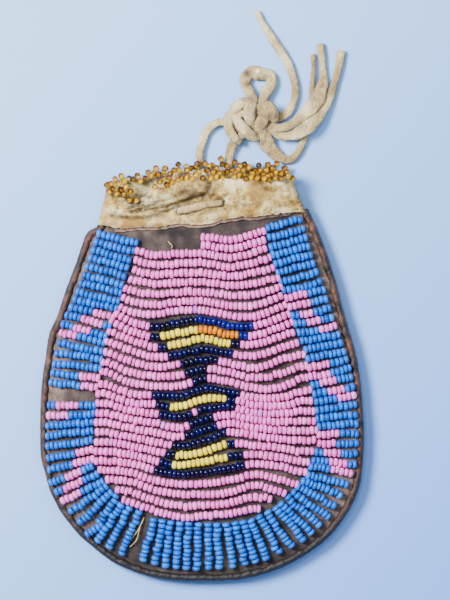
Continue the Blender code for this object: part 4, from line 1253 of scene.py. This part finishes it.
def line_distance(x, y, pixels):
    """Distance to a line of picture points, and the offset from its nearest point."""
    here = Vector((x, y))
    best = Vector((1e9, 0.0))
    for start, end in zip(pixels, pixels[1:]):
        a, b = spot(*start), spot(*end)
        along = b - a
        share = min(1.0, max(0.0, (here - a).dot(along) / along.length_squared))
        offset = here - (a + along * share)
        if offset.length < best.length:
            best = offset
    return best.length, best


print("front of the collar is", round(collar_front_height(41.0), 1), "mm up")


# %% Folds of the collar
STEP_DIP = 1.15
STEP_RISE = 0.35


def strongest(x, y, patches):
    """Strongest of several soft patches, each a line with a width and a strength."""
    uneven = 0.8 + 0.6 * noise.noise(Vector((x, y, 7.0)) * 0.6)
    value = max(
        strength * math.exp(-(line_distance(x, y, line)[0] / width) ** 2)
        for line, width, strength in patches
    )
    return min(1.0, value * uneven)


def collar_relief(x, y):
    """Lift of the collar's front from its folds, and the painted shade in the crease."""
    here = Vector((x, y, 0.0))
    lift = 0.2 * wobble(x, y, 3.2, 0.7) + 0.26 * noise.fractal(here * 0.42, 0.95, 2.1, 5)
    dark = 0.0
    for pixels, depth, width, strength in CREASES:
        gap, offset = line_distance(x, y, pixels)
        if gap > 5 * width:
            continue
        lift -= depth * math.exp(-(gap / (0.6 * width)) ** 2)
        if offset.y > 0:
            lift += 0.75 * depth * math.exp(-((gap - 1.7 * width) / (1.1 * width)) ** 2)
        uneven = 0.75 + 0.5 * noise.noise(here * 1.4)
        dark = max(dark, strength * uneven * math.exp(-(gap / (0.55 * width)) ** 2))
    gap, offset = line_distance(x, y, STEP_LINE)
    if offset.x < 0:
        lift -= STEP_DIP * math.exp(-(gap / 2.4) ** 2)
    else:
        lift += STEP_RISE * math.exp(-(gap / 1.3) ** 2)
    return lift, min(1.0, dark)


print("darkness of the folds at the middle:", round(collar_relief(0.0, 44.0)[1], 2))


# %% A point of the collar
def collar_place(angle, along):
    """Point on the collar's outer face, and how much painted shade it gets there."""
    power = 2 / COLLAR_POWER
    across = math.copysign(abs(math.cos(angle)) ** power, math.cos(angle))
    rise = math.copysign(abs(math.sin(angle)) ** power, math.sin(angle))
    left = float(np.interp(along, SIDE_MARKS, LEFT_SIDE))
    right = float(np.interp(along, SIDE_MARKS, RIGHT_SIDE))
    x = lerp(left, right, (across + 1) / 2)
    front = smoothstep(-0.2, 0.55, rise)
    lip = lerp(read_edge(BACK_LIP, x), read_edge(FRONT_LIP, x), front)
    ragged = read_edge(COLLAR_EDGE, x) + 0.35 * noise.fractal(Vector((x * 0.9, 5.0, 0.0)), 0.8, 2.2, 4)
    edge = lerp(top_edge(x) + GAP, ragged, smoothstep(0.35, 0.8, rise))
    y = lerp(edge, lip + 0.25 * noise.fractal(Vector((x * 1.1, 9.0, front)), 0.8, 2.2, 3), along)
    x += 0.25 * noise.fractal(Vector((2.0, y * 0.8, across)), 0.8, 2.2, 3) * abs(across) ** 4
    low, high = collar_back_height(y), collar_front_height(y)
    z = (low + high) / 2 + rise * (high - low) / 2
    dark = 0.0
    if rise > 0:
        lift, dark = collar_relief(x, y)
        z += lift * smoothstep(0.0, 0.7, rise)
        z -= 0.25 * smoothstep(0.12, 0.0, along)
    # The slits for the thong dip and get painted shade.
    for end in STITCH_ENDS:
        gap = math.hypot(x - end[0], y - end[1])
        if rise > 0:
            dark = max(dark, math.exp(-(gap / 1.25) ** 4))
            z -= 0.5 * math.exp(-(gap / 1.3) ** 2)
    return (x, y, z), dark


print("collar steps:", COLLAR_AROUND, "round and", COLLAR_ALONG, "along")

# %% [markdown]
# The collar's points run round and round it, from the ragged edge to the lip. The
# faces where the thong goes in and out are left off, and a Solidify modifier
# gives the wall its thickness on the inner side, whichever way the faces point.

# %% Making the collar
SLIT = (0.9, 0.55)
FRONT_WALL_FROM = 5
collar_points = []
collar_crease_shade = []
for row in range(COLLAR_ALONG + 1):
    for column in range(COLLAR_AROUND):
        point, dark = collar_place(2 * math.pi * column / COLLAR_AROUND, row / COLLAR_ALONG)
        collar_points.append(point)
        collar_crease_shade.append(dark)
collar_faces = grid_faces(COLLAR_ALONG + 1, COLLAR_AROUND, closed=True)
collar_array = np.array(collar_points)


def beside_slit(face):
    """True for a face of the front wall that a slit for the thong has cut away."""
    x, y, z = collar_array[list(face)].mean(axis=0)
    return z > FRONT_WALL_FROM and any(
        abs(x - a) < SLIT[0] and abs(y - b) < SLIT[1] for a, b in STITCH_ENDS
    )


collar_faces = [face for face in collar_faces if not beside_slit(face)]
collar = make_piece("rawhide_collar", collar_points, collar_faces, RAWHIDE, ("mouth_collar",))
give_values(collar, "crease_shade", collar_crease_shade)
give_values(collar, "fold_shade", [strongest(x, y, FOLD_SHADES) for x, y, z in collar_points])
give_values(collar, "ochre", [strongest(x, y, OCHRES) for x, y, z in collar_points])
collar_thick = collar.modifiers.new("collar wall", "SOLIDIFY")
collar_thick.thickness = COLLAR_WALL * MM
front_faces = [face for face in collar.data.polygons if face.center.z > 0.009]
faces_out = sum(face.normal.z for face in front_faces) > 0
collar_thick.offset = -1 if faces_out else 1
print("collar faces point", "outward" if faces_out else "inward")

# %% [markdown]
# A thin strip of pinkish hide shows below the collar's ragged edge, with a painted
# shadow on the hide below it. It is a lap that the collar was sewn to. A narrow
# grid of points follows the collar's own edge, so the two can't part.

# %% Underlap
LAP_STEPS = 150
LAP_ACROSS = 6
LAP_REACH = (-22.6, 23.0)
lap_points = []
for row in range(LAP_STEPS + 1):
    x = lerp(*LAP_REACH, row / LAP_STEPS)
    high_y = read_edge(COLLAR_EDGE, x) + 1.5
    low_y = read_edge(COLLAR_EDGE, x) - 0.75 - 0.4 * noise.noise(Vector((x * 0.5, 2.0, 0.0)))
    for column in range(LAP_ACROSS + 1):
        share = column / LAP_ACROSS
        y = lerp(low_y, high_y, share)
        crown = 0.75 * math.sin(math.pi * min(1.0, share + 0.12)) ** 0.5
        lap_points.append((x, y, front_outside(x, y) + 0.12 + crown + 0.08 * wobble(x, y, 0.8, 2.7)))
make_piece(
    "underlap_strip", lap_points, grid_faces(LAP_STEPS + 1, LAP_ACROSS + 1), WELT_HIDE,
    ("collar_welt",),
)

# %% [markdown]
# A thong is a strip cut from soft hide, so its section is a flattened round and
# it varies along its length. A bevelled curve would keep one section, so each
# station below gives the middle of the thong in millimetres, then its width and
# its thickness there. A tube is laid along the smooth curve through the stations,
# with the flat side level, a little lumpy, and closed with blunt ends. What would
# dip below the table is pressed flat on it.

# %% Thong helpers
THONG = 2.1
THONG_REST = THONG / 2 + 0.05
TUBE_SIDES = 18
TUBE_STEP = 0.35
ON_TABLE = 0.03
FLATNESS = 0.7
BLUNT_END = 0.72
BLUNT_REACH = 0.5


def thong_shape(stations, seed, blunt_ends=(True, True)):
    """Points and faces of a flattened tube, and the line that it follows."""
    line = smooth_line(stations, TUBE_STEP)
    centre = line[:, :3]
    along = np.gradient(centre, axis=0)
    along /= np.linalg.norm(along, axis=1)[:, None]
    side = np.cross(along, (0.0, 0.0, 1.0))
    side /= np.linalg.norm(side, axis=1)[:, None]
    up = np.cross(side, along)
    points = []
    count = len(line)
    for number in range(count):
        steps_from_end = [count] + [
            steps for steps, is_blunt in zip((number, count - 1 - number), blunt_ends) if is_blunt
        ]
        from_end = min(steps_from_end) * TUBE_STEP
        blunt = min(1.0, BLUNT_END + (1 - BLUNT_END) * from_end / BLUNT_REACH)
        run = number * TUBE_STEP
        swell = 1.0 + 0.05 * math.sin(run / 1.7 + seed) + 0.04 * math.sin(run / 0.62 + 2 * seed)
        for step in range(TUBE_SIDES):
            angle = 2 * math.pi * step / TUBE_SIDES
            reach = math.copysign(abs(math.cos(angle)) ** FLATNESS, math.cos(angle))
            rise = math.copysign(abs(math.sin(angle)) ** FLATNESS, math.sin(angle))
            uneven = 1.0 + 0.05 * math.sin(3 * angle + run / 1.3 + seed)
            point = (
                centre[number]
                + side[number] * (reach * line[number, 3] / 2 * swell * blunt * uneven)
                + up[number] * (rise * line[number, 4] / 2 * blunt * (2 - swell) * uneven)
            )
            point[2] = max(point[2], ON_TABLE)
            points.append(point)
    faces = grid_faces(count, TUBE_SIDES, closed=True)
    faces.append(list(range(TUBE_SIDES))[::-1])
    faces.append([(count - 1) * TUBE_SIDES + step for step in range(TUBE_SIDES)])
    return points, faces, centre


print("sides of the tube:", TUBE_SIDES)


# %% A piece of thong
def thong_piece(name, runs, material, replaced, blunt_ends=(True, True)):
    """One piece of one or more tubes; returns it and the line of the first."""
    points = []
    faces = []
    lines = []
    for number, stations in enumerate(runs):
        more, more_faces, line = thong_shape(stations, 1.7 * number + len(name), blunt_ends)
        faces.extend([index + len(points) for index in face] for face in more_faces)
        points.extend(more)
        lines.append(line)
    piece = make_piece(name, points, faces, material, replaced)
    # The sides of each tube get painted shade, strongest in the knot.
    side_shade = KNOT_SIDE_SHADE if name == "knot_turns" else THONG_SIDE_SHADE
    soils_and_shades = []
    for number, point in enumerate(points):
        sideways = abs(math.cos(2 * math.pi * (number % TUBE_SIDES) / TUBE_SIDES))
        soils_and_shades.append(max(soil_at(point), side_shade * sideways ** 5))
    give_values(piece, "soil_and_shade", soils_and_shades)
    return piece, lines[0]


# %% [markdown]
# Hands have left the thong dirty in places. Each dirty patch below is a place, a
# width in millimetres and a strength. The sides of a thong get painted shade as
# well, most of all in the knot.

# %% Dirt and painted side shade on the thong
KNOT_SIDE_SHADE = 0.6
THONG_SIDE_SHADE = 0.3
SOILED = (
    (spot(247.2, 72.5), 1.5, 1.0), (spot(247.7, 83), 1.3, 0.85), (spot(259, 79), 1.3, 0.95),
    (spot(264.5, 76), 1.0, 0.75), (spot(252.5, 80), 1.0, 0.7), (spot(313.8, 64), 2.2, 0.6),
    (spot(240.5, 141), 1.3, 0.5), (spot(262, 125), 1.8, 0.45), (spot(190, 207), 3.0, 0.12),
    (spot(256, 112), 1.6, 0.4), (spot(278, 119), 1.8, 0.4), (spot(246, 140), 1.4, 0.5),
    (spot(248, 120), 5.5, 0.22), (spot(296, 124), 3.0, 0.2),
)


print("dirty patches:", len(SOILED))


def soil_at(point):
    """How dirty the thong is at a point."""
    here = Vector((point[0], point[1]))
    return max(
        strength * math.exp(-((here - middle).length / size) ** 2) for middle, size, strength in SOILED
    )


# %% [markdown]
# The three runs of thong repeat the routes of the plain model, and go on through
# the knot. The first comes up from the left of the mouth and leaves to the long
# tail. The second comes from the middle of the mouth and leaves as the right
# tail. The third is the tie: it runs from a short tail, round below the bands, up
# through the knot, round the eye loop, and out again to the middle tail.

# %% Routes of the three thongs
def lie(route, width=THONG, thick=1.8):
    """Stations from the plain model's route, whose heights are above the table."""
    stations = []
    for point in route:
        extra = point[3:] if len(point) > 3 else (width, thick)
        stations.append((point[0], point[1], point[2] + THONG_REST, *extra))
    return stations


LEG_LEFT = (
    (-0.5, 55.5, 0), (-0.4, 57.0, 0), (0.1, 59.2, 0), (1.0, 61.6, 0.1), (2.6, 63.5, 0.3),
    (4.4, 64.5, 0.6), (6.1, 64.6, 0.9),
)
LEFT_IN_KNOT = ((8.6, 64.2, 0.7), (12.6, 63.4, 0.3), (16.4, 64.0, 0.4))
TAIL_LONG = (
    (19.3, 65.3, 0.8, 2.0, 1.7), (21.4, 66.3, 0.2, 2.2, 1.6), (23.2, 68.1, 0, 2.1, 1.6),
    (24.2, 70.6, 0, 1.9, 1.6), (24.4, 73.2, 0, 2.0, 1.6), (23.9, 76.2, 0, 1.9, 1.6),
    (22.6, 79.6, 0, 2.2, 1.5), (20.6, 83.0, 0, 2.3, 1.5), (18.2, 86.6, 0, 2.1, 1.5),
    (16.0, 90.2, 0, 1.7, 1.4), (14.2, 93.55, 0, 1.5, 1.3),
)
LEG_RIGHT = (
    (7.2, 55.5, 0, 2.4, 1.9), (7.4, 56.8, 0.1, 2.4, 1.9), (7.9, 58.3, 0.5, 2.4, 2.0), (8.6, 59.6, 0.9),
)
RIGHT_IN_KNOT = ((10.4, 61.0, 1.3), (13.2, 62.4, 1.6), (16.0, 62.9, 1.8))
TAIL_RIGHT = (
    (18.3, 62.7, 2.2, 2.4, 1.9), (20.0, 61.3, 1.8, 2.5, 1.9), (22.6, 60.9, 1.8, 2.5, 1.9),
    (25.0, 61.5, 2.6, 3.2, 1.7), (27.0, 62.6, 2.8, 3.5, 1.6), (29.4, 64.8, 2.2, 3.2, 1.6),
    (31.3, 67.2, 1.2, 3.0, 1.5), (32.7, 69.8, 0.4, 2.7, 1.5), (33.9, 72.4, 0.1, 2.1, 1.6),
    (34.9, 75.6, 0, 1.9, 1.6), (35.7, 79.0, 0, 2.0, 1.6), (36.5, 83.3, 0, 2.2, 1.5),
)
SHORT_TAIL = (
    (29.0, 82.4, 0, 1.4, 1.5), (29.1, 78.5, 0, 1.2, 1.6), (28.9, 74.6, 0, 1.4, 1.6),
    (28.7, 71.0, 0, 1.8, 1.6), (28.5, 68.0, 0), (27.9, 64.8, 0), (27.3, 62.0, 0),
    (26.4, 59.4, 0, 2.0, 1.8), (25.1, 56.7, 0, 2.0, 1.8), (23.4, 55.0, 0, 2.0, 1.8),
    (21.6, 54.8, 0, 2.2, 1.9), (19.6, 55.9, 0, 3.2, 1.9), (18.0, 57.6, 0.2, 3.9, 2.0),
    (16.8, 59.4, 0.9, 4.2, 2.1),
)
TIE_UP = ((16.2, 61.3, 2.0, 3.4, 2.1), (15.5, 63.6, 2.5, 2.9, 2.0), (15.6, 66.6, 1.8, 2.4, 2.0))
EYE = (
    (15.9, 70.0, 1.4, 2.5, 2.0), (16.8, 72.2, 0.7, 2.8, 2.1), (18.2, 74.8, 0.2, 2.8, 2.1),
    (17.6, 76.6, 0, 3.2, 2.1), (15.4, 77.2, 0, 3.9, 2.1), (13.2, 77.6, 0, 3.3, 2.1),
    (11.7, 76.6, 0, 3.0, 2.1), (11.4, 74.6, 0.2, 3.0, 2.1), (12.3, 72.4, 0.7, 2.9, 2.1),
    (13.4, 70.5, 1.5, 2.4, 2.0),
)
TIE_DOWN = ((12.9, 69.0, 3.0, 2.8, 2.1), (12.4, 67.3, 4.0, 3.2, 2.2), (12.5, 65.2, 3.4, 2.8, 2.0),
            (13.8, 63.6, 1.8), (16.6, 63.2, 1.8))
TAIL_MIDDLE = (
    (20.0, 62.9, 2.6, 2.2, 1.7), (22.4, 63.4, 2.8, 2.3, 1.7), (25.0, 65.0, 2.8, 2.6, 1.6),
    (27.4, 67.2, 2.6, 3.2, 1.5), (29.4, 69.4, 2.0, 4.0, 1.4), (30.7, 71.6, 1.2, 4.0, 1.4),
    (31.5, 74.4, 0.4, 2.8, 1.4), (31.7, 77.4, 0, 1.8, 1.5), (31.4, 80.8, 0, 1.8, 1.5),
    (30.8, 85.1, 0, 2.2, 1.4),
)

# %% Making the three thongs
THONG_RUNS = (
    ("thong_left", LEG_LEFT + LEFT_IN_KNOT + TAIL_LONG, ("thong_leg_left", "thong_tail_long")),
    ("thong_right", LEG_RIGHT + RIGHT_IN_KNOT + TAIL_RIGHT, ("thong_leg_right", "thong_tail_right")),
    ("tie_thong", SHORT_TAIL + TIE_UP + EYE + TIE_DOWN + TAIL_MIDDLE,
     ("thong_loop_tail", "thong_eye", "thong_tail_middle")),
)


def line_length(line):
    """Length in millimetres of a line of points."""
    return float(np.linalg.norm(np.diff(line, axis=0), axis=1).sum())


for name, route, replaced in THONG_RUNS:
    blunt = (name == "tie_thong", True)
    piece, line = thong_piece(name, [lie(route)], BUCKSKIN, replaced, blunt_ends=blunt)
    print(name, round(line_length(line), 1), "mm long")

# %% [markdown]
# The knot's own turns are shorter pieces of the same thong. Most of a real knot
# never shows, so these are the parts that show from above: two wraps on the left,
# a lobe at the upper left, a fat one on the right and a short turn beside it, all
# pulled tight over the thongs that run through. A wide flat turn lies below them
# and closes the middle.

# %% Knot
KNOT_TURNS = (
    ((8.0, 62.6, 0.1, 3.0, 2.2), (10.4, 64.2, 0.5, 7.2, 3.0), (14.2, 65.0, 0.6, 8.4, 3.2),
     (18.0, 65.4, 0.1, 4.6, 2.4)),
    ((11.4, 66.4, 2.2, 2.0, 2.0), (8.8, 67.0, 2.6, 2.3, 2.0), (7.0, 65.6, 2.2, 2.5, 2.1),
     (7.0, 62.9, 2.0, 2.6, 2.1), (8.4, 60.6, 1.9, 2.4, 2.1), (10.2, 59.0, 1.4, 1.8, 2.0)),
    ((8.9, 66.2, 2.6, 1.8, 1.9), (9.4, 64.7, 3.5, 2.5, 2.0), (10.9, 62.7, 3.9, 2.9, 2.1),
     (12.7, 61.0, 3.5, 2.9, 2.1), (14.2, 60.6, 2.3, 2.4, 2.0), (14.8, 62.0, 1.2, 1.8, 1.8)),
    ((8.6, 66.2, 2.6, 2.0, 1.9), (8.9, 68.0, 3.1, 2.8, 2.0), (10.4, 69.4, 3.2, 2.9, 2.0),
     (12.6, 69.8, 2.2, 2.4, 1.8)),
    ((14.6, 66.6, 2.0, 2.6, 1.9), (15.9, 67.9, 3.2, 4.0, 2.2), (17.4, 67.4, 3.4, 4.6, 2.3),
     (18.4, 65.9, 2.6, 3.8, 2.1), (18.2, 64.6, 1.4, 2.4, 1.9)),
    ((16.4, 66.0, 2.8, 2.6, 1.9), (15.6, 64.4, 3.4, 3.0, 2.0), (14.8, 62.6, 2.6, 2.6, 1.9),
     (14.2, 61.6, 1.4, 1.8, 1.8)),
)
knot, _ = thong_piece("knot_turns", [lie(turn) for turn in KNOT_TURNS], BUCKSKIN, ("thong_knot",))

# %% [markdown]
# The drawstring runs inside the collar. One stitch of it shows on the front,
# between two slits. The rest is a plain tube down to the back wall, where the two
# legs of the thong come out. It needs no more detail, because the collar hides it,
# and it goes through the back wall where no one can see the hole.

# %% Drawstring
LACING = 1.6
SLIT_BACK_Y = 46.3
inside_height = (collar_back_height(SLIT_BACK_Y) + collar_front_height(SLIT_BACK_Y)) / 2
under_height = LACING / 2 + 0.35
left_top = collar_front_height(STITCH_ENDS[0][1]) + GAP + 0.55
right_top = collar_front_height(STITCH_ENDS[1][1]) + GAP + 0.6
lacing_route = (
    (-0.5, 56.0, under_height - 0.05, 2.0, 1.7), (-0.5, 54.8, under_height - 0.05, 2.0, 1.7),
    (-0.5, 51.5, under_height, 1.6, 1.6), (-0.5, 49.5, under_height, 1.6, 1.6),
    (-0.5, 47.2, under_height, 1.6, 1.6), (-0.5, 46.3, under_height + 1.2, 1.6, 1.6),
    (-0.6, 46.2, inside_height, 1.6, 1.6), (-5.9, 41.2, inside_height, 1.6, 1.6),
    (-5.7, 41.2, left_top - 1.6, 1.7, 1.6), (-5.3, 41.3, left_top - 0.4, 1.7, 1.5),
    (-4.2, 41.5, left_top - 0.1, 1.7, 1.3), (-1.5, 42.15, left_top, 1.7, 1.2),
    (1.5, 42.85, left_top + 0.1, 1.7, 1.2), (3.4, 43.1, right_top - 0.1, 1.5, 1.3),
    (4.5, 43.3, right_top - 0.5, 1.5, 1.4), (4.8, 43.35, right_top - 1.6, 1.5, 1.5),
    (5.3, 43.5, inside_height, 1.6, 1.6), (7.2, 46.2, inside_height, 1.6, 1.6),
    (7.2, 46.3, under_height + 1.2, 1.6, 1.6), (7.2, 47.2, under_height, 1.6, 1.6),
    (7.2, 49.5, under_height, 1.6, 1.6), (7.2, 51.5, under_height, 1.6, 1.6),
    (7.2, 54.8, under_height - 0.05, 2.2, 1.7), (7.25, 56.0, under_height, 2.2, 1.7),
)
thong_piece(
    "drawstring", [lacing_route], BUCKSKIN, ("drawstring_lacing",), blunt_ends=(False, False)
)

# %% [markdown]
# Small amber beads edge the mouth in a loose net. Those of the front row sit on
# the front lip, high up, and those of the back row on the back lip, low down. The
# rest hang between the two, so they step down in height from front to back. They
# could be scattered, but the net is so uneven that each bead's place is read from
# the picture. A last few are scattered low down, to fill gaps in the net.

# %% Where the amber beads sit
AMBER_BACK = (
    (121, 176), (129, 178), (137, 175), (148, 172), (156, 168), (165, 168), (178, 164), (187, 166),
    (197, 163), (205, 163), (213, 165), (221, 158.5), (226, 165), (235, 162), (240, 165.5), (245, 164),
    (259, 165), (268, 164), (277, 163.5), (285, 168),
)
AMBER_BETWEEN = (
    (115, 179), (124, 181), (133, 179), (140, 181), (145, 178), (151, 175), (158, 174), (164, 172),
    (170, 174), (174, 170), (179, 170), (187, 170), (191, 168), (187, 175), (199, 172), (207, 170),
    (213, 172), (209, 166), (217, 168), (219, 173), (227, 172), (232, 170), (238, 169), (243, 170),
    (243, 175), (249, 167), (252, 174), (255, 170), (260, 170), (263, 174), (266, 170), (272, 168),
    (271, 174), (276, 172), (281, 173), (287, 172),
)
AMBER_FRONT = (
    (107, 185), (111, 184), (109, 192), (113, 189), (119, 184), (121, 190), (117, 194), (124, 194),
    (126, 187), (131, 191.5), (129, 200), (136, 200.5), (155, 187), (160, 182), (164, 179), (167, 185),
    (169, 178), (172, 182), (178, 180), (182, 178), (186, 178), (192, 179), (196, 175), (203, 178.3),
    (211, 178.3), (217, 177), (222, 178), (234, 177), (239, 175), (246, 179), (251, 177), (257, 178),
    (264, 178.5), (269, 180), (275, 178), (281, 179), (288, 176),
)
print("places read:", len(AMBER_BACK) + len(AMBER_BETWEEN) + len(AMBER_FRONT))

# %% Stringing the amber beads
FRONT_HEIGHT = 10.4
BACK_HEIGHT = 3.0
AMBER_LENGTH = 1.4
AMBER_TIP = 0.1
AMBER_PAINTED_GLOW = 0.55
FILLING_GAP = 3.4
FILLING_BELOW = 180


def amber_sites(pixels, height_of):
    """Bead sites at picture points, turned every way that a loose thread allows."""
    sites = []
    for pixel in pixels:
        place = spot(*pixel)
        turn = random.uniform(0, math.pi)
        way = Vector((math.cos(turn), math.sin(turn), random.gauss(0, 0.35))).normalized()
        centre = Vector((place.x, place.y, height_of(place) + random.gauss(0, 0.2)))
        sites.append((centre, way, random.gauss(1, 0.08)))
    return sites


def net_height(place):
    """Height of the net between the lips, from high at the front to low at the back."""
    front, back = read_edge(FRONT_LIP, place.x), read_edge(BACK_LIP, place.x)
    share = (place.y - front) / max(0.5, back + 1.5 - front)
    return lerp(FRONT_HEIGHT - 0.5, BACK_HEIGHT + 1.5, min(1.0, max(0.0, share)))


amber_filling = []
for pixel in AMBER_BETWEEN + AMBER_FRONT[12:] + AMBER_BACK[6:]:
    filling = (pixel[0] + random.uniform(-5, 5), pixel[1] + random.uniform(-2, 4))
    known = AMBER_BETWEEN + AMBER_FRONT + AMBER_BACK + tuple(amber_filling)
    nearest = min(math.dist(filling, other) for other in known)
    if nearest > FILLING_GAP and filling[1] < FILLING_BELOW:
        amber_filling.append(filling)
front_sites = amber_sites(AMBER_FRONT, lambda place: FRONT_HEIGHT)
front_sites += amber_sites(AMBER_BETWEEN, net_height)
front_sites += amber_sites(amber_filling, lambda place: net_height(place) - 0.7)
print("amber beads:", len(front_sites) + len(AMBER_BACK))
back_sites = amber_sites(AMBER_BACK, lambda place: BACK_HEIGHT)
for name, sites, node in (
    ("amber_front_net", front_sites, "amber_edging_front"),
    ("amber_back_net", back_sites, "amber_edging_back"),
):
    string_beads(
        name, AMBER_GLASS, sites, (node,), AMBER_BEAD, AMBER_LENGTH, AMBER_TIP, AMBER_PAINTED_GLOW
    )

# %% [markdown]
# Thread shows wherever beads have gone: between strands at the bottom left two
# dry fibres stand out of the hide, and a bit of gold thread lies below the
# collar. They are thin tubes that bow up a little from the hide, made like the
# thong. So is the pale crumb that is caught on its eye loop.

# %% Stray fibres and a crumb
FIBRES = (
    ((144, 517.5), (141.5, 523.5), (137, 531.5), (130.5, 541)),
    ((143, 519.5), (139.5, 529), (136.5, 540), (129, 548)),
    ((168, 241), (170.5, 244), (172.3, 246), (171, 249)),
)
for number, fibre in enumerate(FIBRES, start=1):
    stations = []
    for step, pixel in enumerate(fibre):
        place = spot(*pixel)
        bow = 0.45 + 0.9 * math.sin(math.pi * step / (len(fibre) - 1))
        stations.append((place.x, place.y, front_outside(*place) + bow, 0.26, 0.22))
    thong_piece(f"stray_fibre_{number}", [stations], SINEW, ())
crumb = [(*spot(*pixel), 2.2, width, 0.9) for pixel, width in (
    ((256.2, 71.4), 0.7), ((257.6, 70.6), 1.2), ((259.2, 70.4), 1.3), ((260.8, 71.2), 0.7),
)]
thong_piece("pale_crumb", [crumb], PALE_GRIT, ())

# %% [markdown]
# A pale blue table and soft studio light, brightest from the upper left, as in
# the picture. A sun would cut hard shadows, so the light comes from discs: the two
# large ones keep the shadow edges soft, and the small one gives each bead its
# glint.


# %% Table
def table_material():
    """Pale blue, with painted shade that deepens away from the light."""
    material, tree, shader, place = new_material("pale_table")
    parts = add_node(tree, "ShaderNodeSeparateXYZ", {"Vector": place}).outputs
    away = add_node(
        tree, "ShaderNodeMath", {0: parts["X"], 1: parts["Y"]}, operation="SUBTRACT"
    ).outputs["Value"]
    share = add_node(
        tree, "ShaderNodeMapRange", {"Value": away, "From Min": -0.12, "From Max": 0.13}
    ).outputs["Result"]
    blue = add_node(
        tree, "ShaderNodeValToRGB", {"Fac": share}, stops=((0.0, "#9ECAFF"), (1.0, "#6A9EF8"))
    ).outputs["Color"]
    fill(tree, shader, {"Base Color": blue, "Roughness": 0.8})
    return material


floor_mesh = bpy.data.meshes.new("table_top")
TABLE_HALF = 1.2
floor_mesh.from_pydata(
    [(x * TABLE_HALF, y * TABLE_HALF, 0) for x, y in ((-1, -1), (1, -1), (1, 1), (-1, 1))],
    [], [(0, 1, 2, 3)],
)
floor_mesh.materials.append(table_material())
floor = bpy.data.objects.new("table_top", floor_mesh)
bpy.context.collection.objects.link(floor)
print("table:", 2 * TABLE_HALF, "m across")


# %% Lights
def area_light(name, place, target, size, power, colour):
    """A disc of light that faces its target."""
    data = bpy.data.lights.new(name, "AREA")
    data.shape = "DISK"
    data.size = size
    data.energy = power
    data.color = colour
    lamp = bpy.data.objects.new(name, data)
    lamp.location = place
    lamp.rotation_euler = (Vector(target) - Vector(place)).to_track_quat("-Z", "Y").to_euler()
    bpy.context.collection.objects.link(lamp)


area_light("key_light", (-0.50, 0.26, 0.80), (0, 0.02, 0), 0.34, 25.5, (1.0, 0.985, 0.96))
area_light("fill_light", (0.3, 0.2, 1.0), (0, 0, 0), 0.8, 4.2, (0.90, 0.95, 1.0))
area_light("glint_light", (-0.16, 0.2, 1.1), (0, 0, 0), 0.12, 2.5, (1.0, 1.0, 1.0))
world = bpy.data.worlds.new("studio")
bpy.context.scene.world = world
world.use_nodes = True
world.node_tree.nodes["Background"].inputs["Color"].default_value = (0.72, 0.86, 1.0, 1.0)
world.node_tree.nodes["Background"].inputs["Strength"].default_value = 0.42
print("lights:", len(bpy.data.lights))
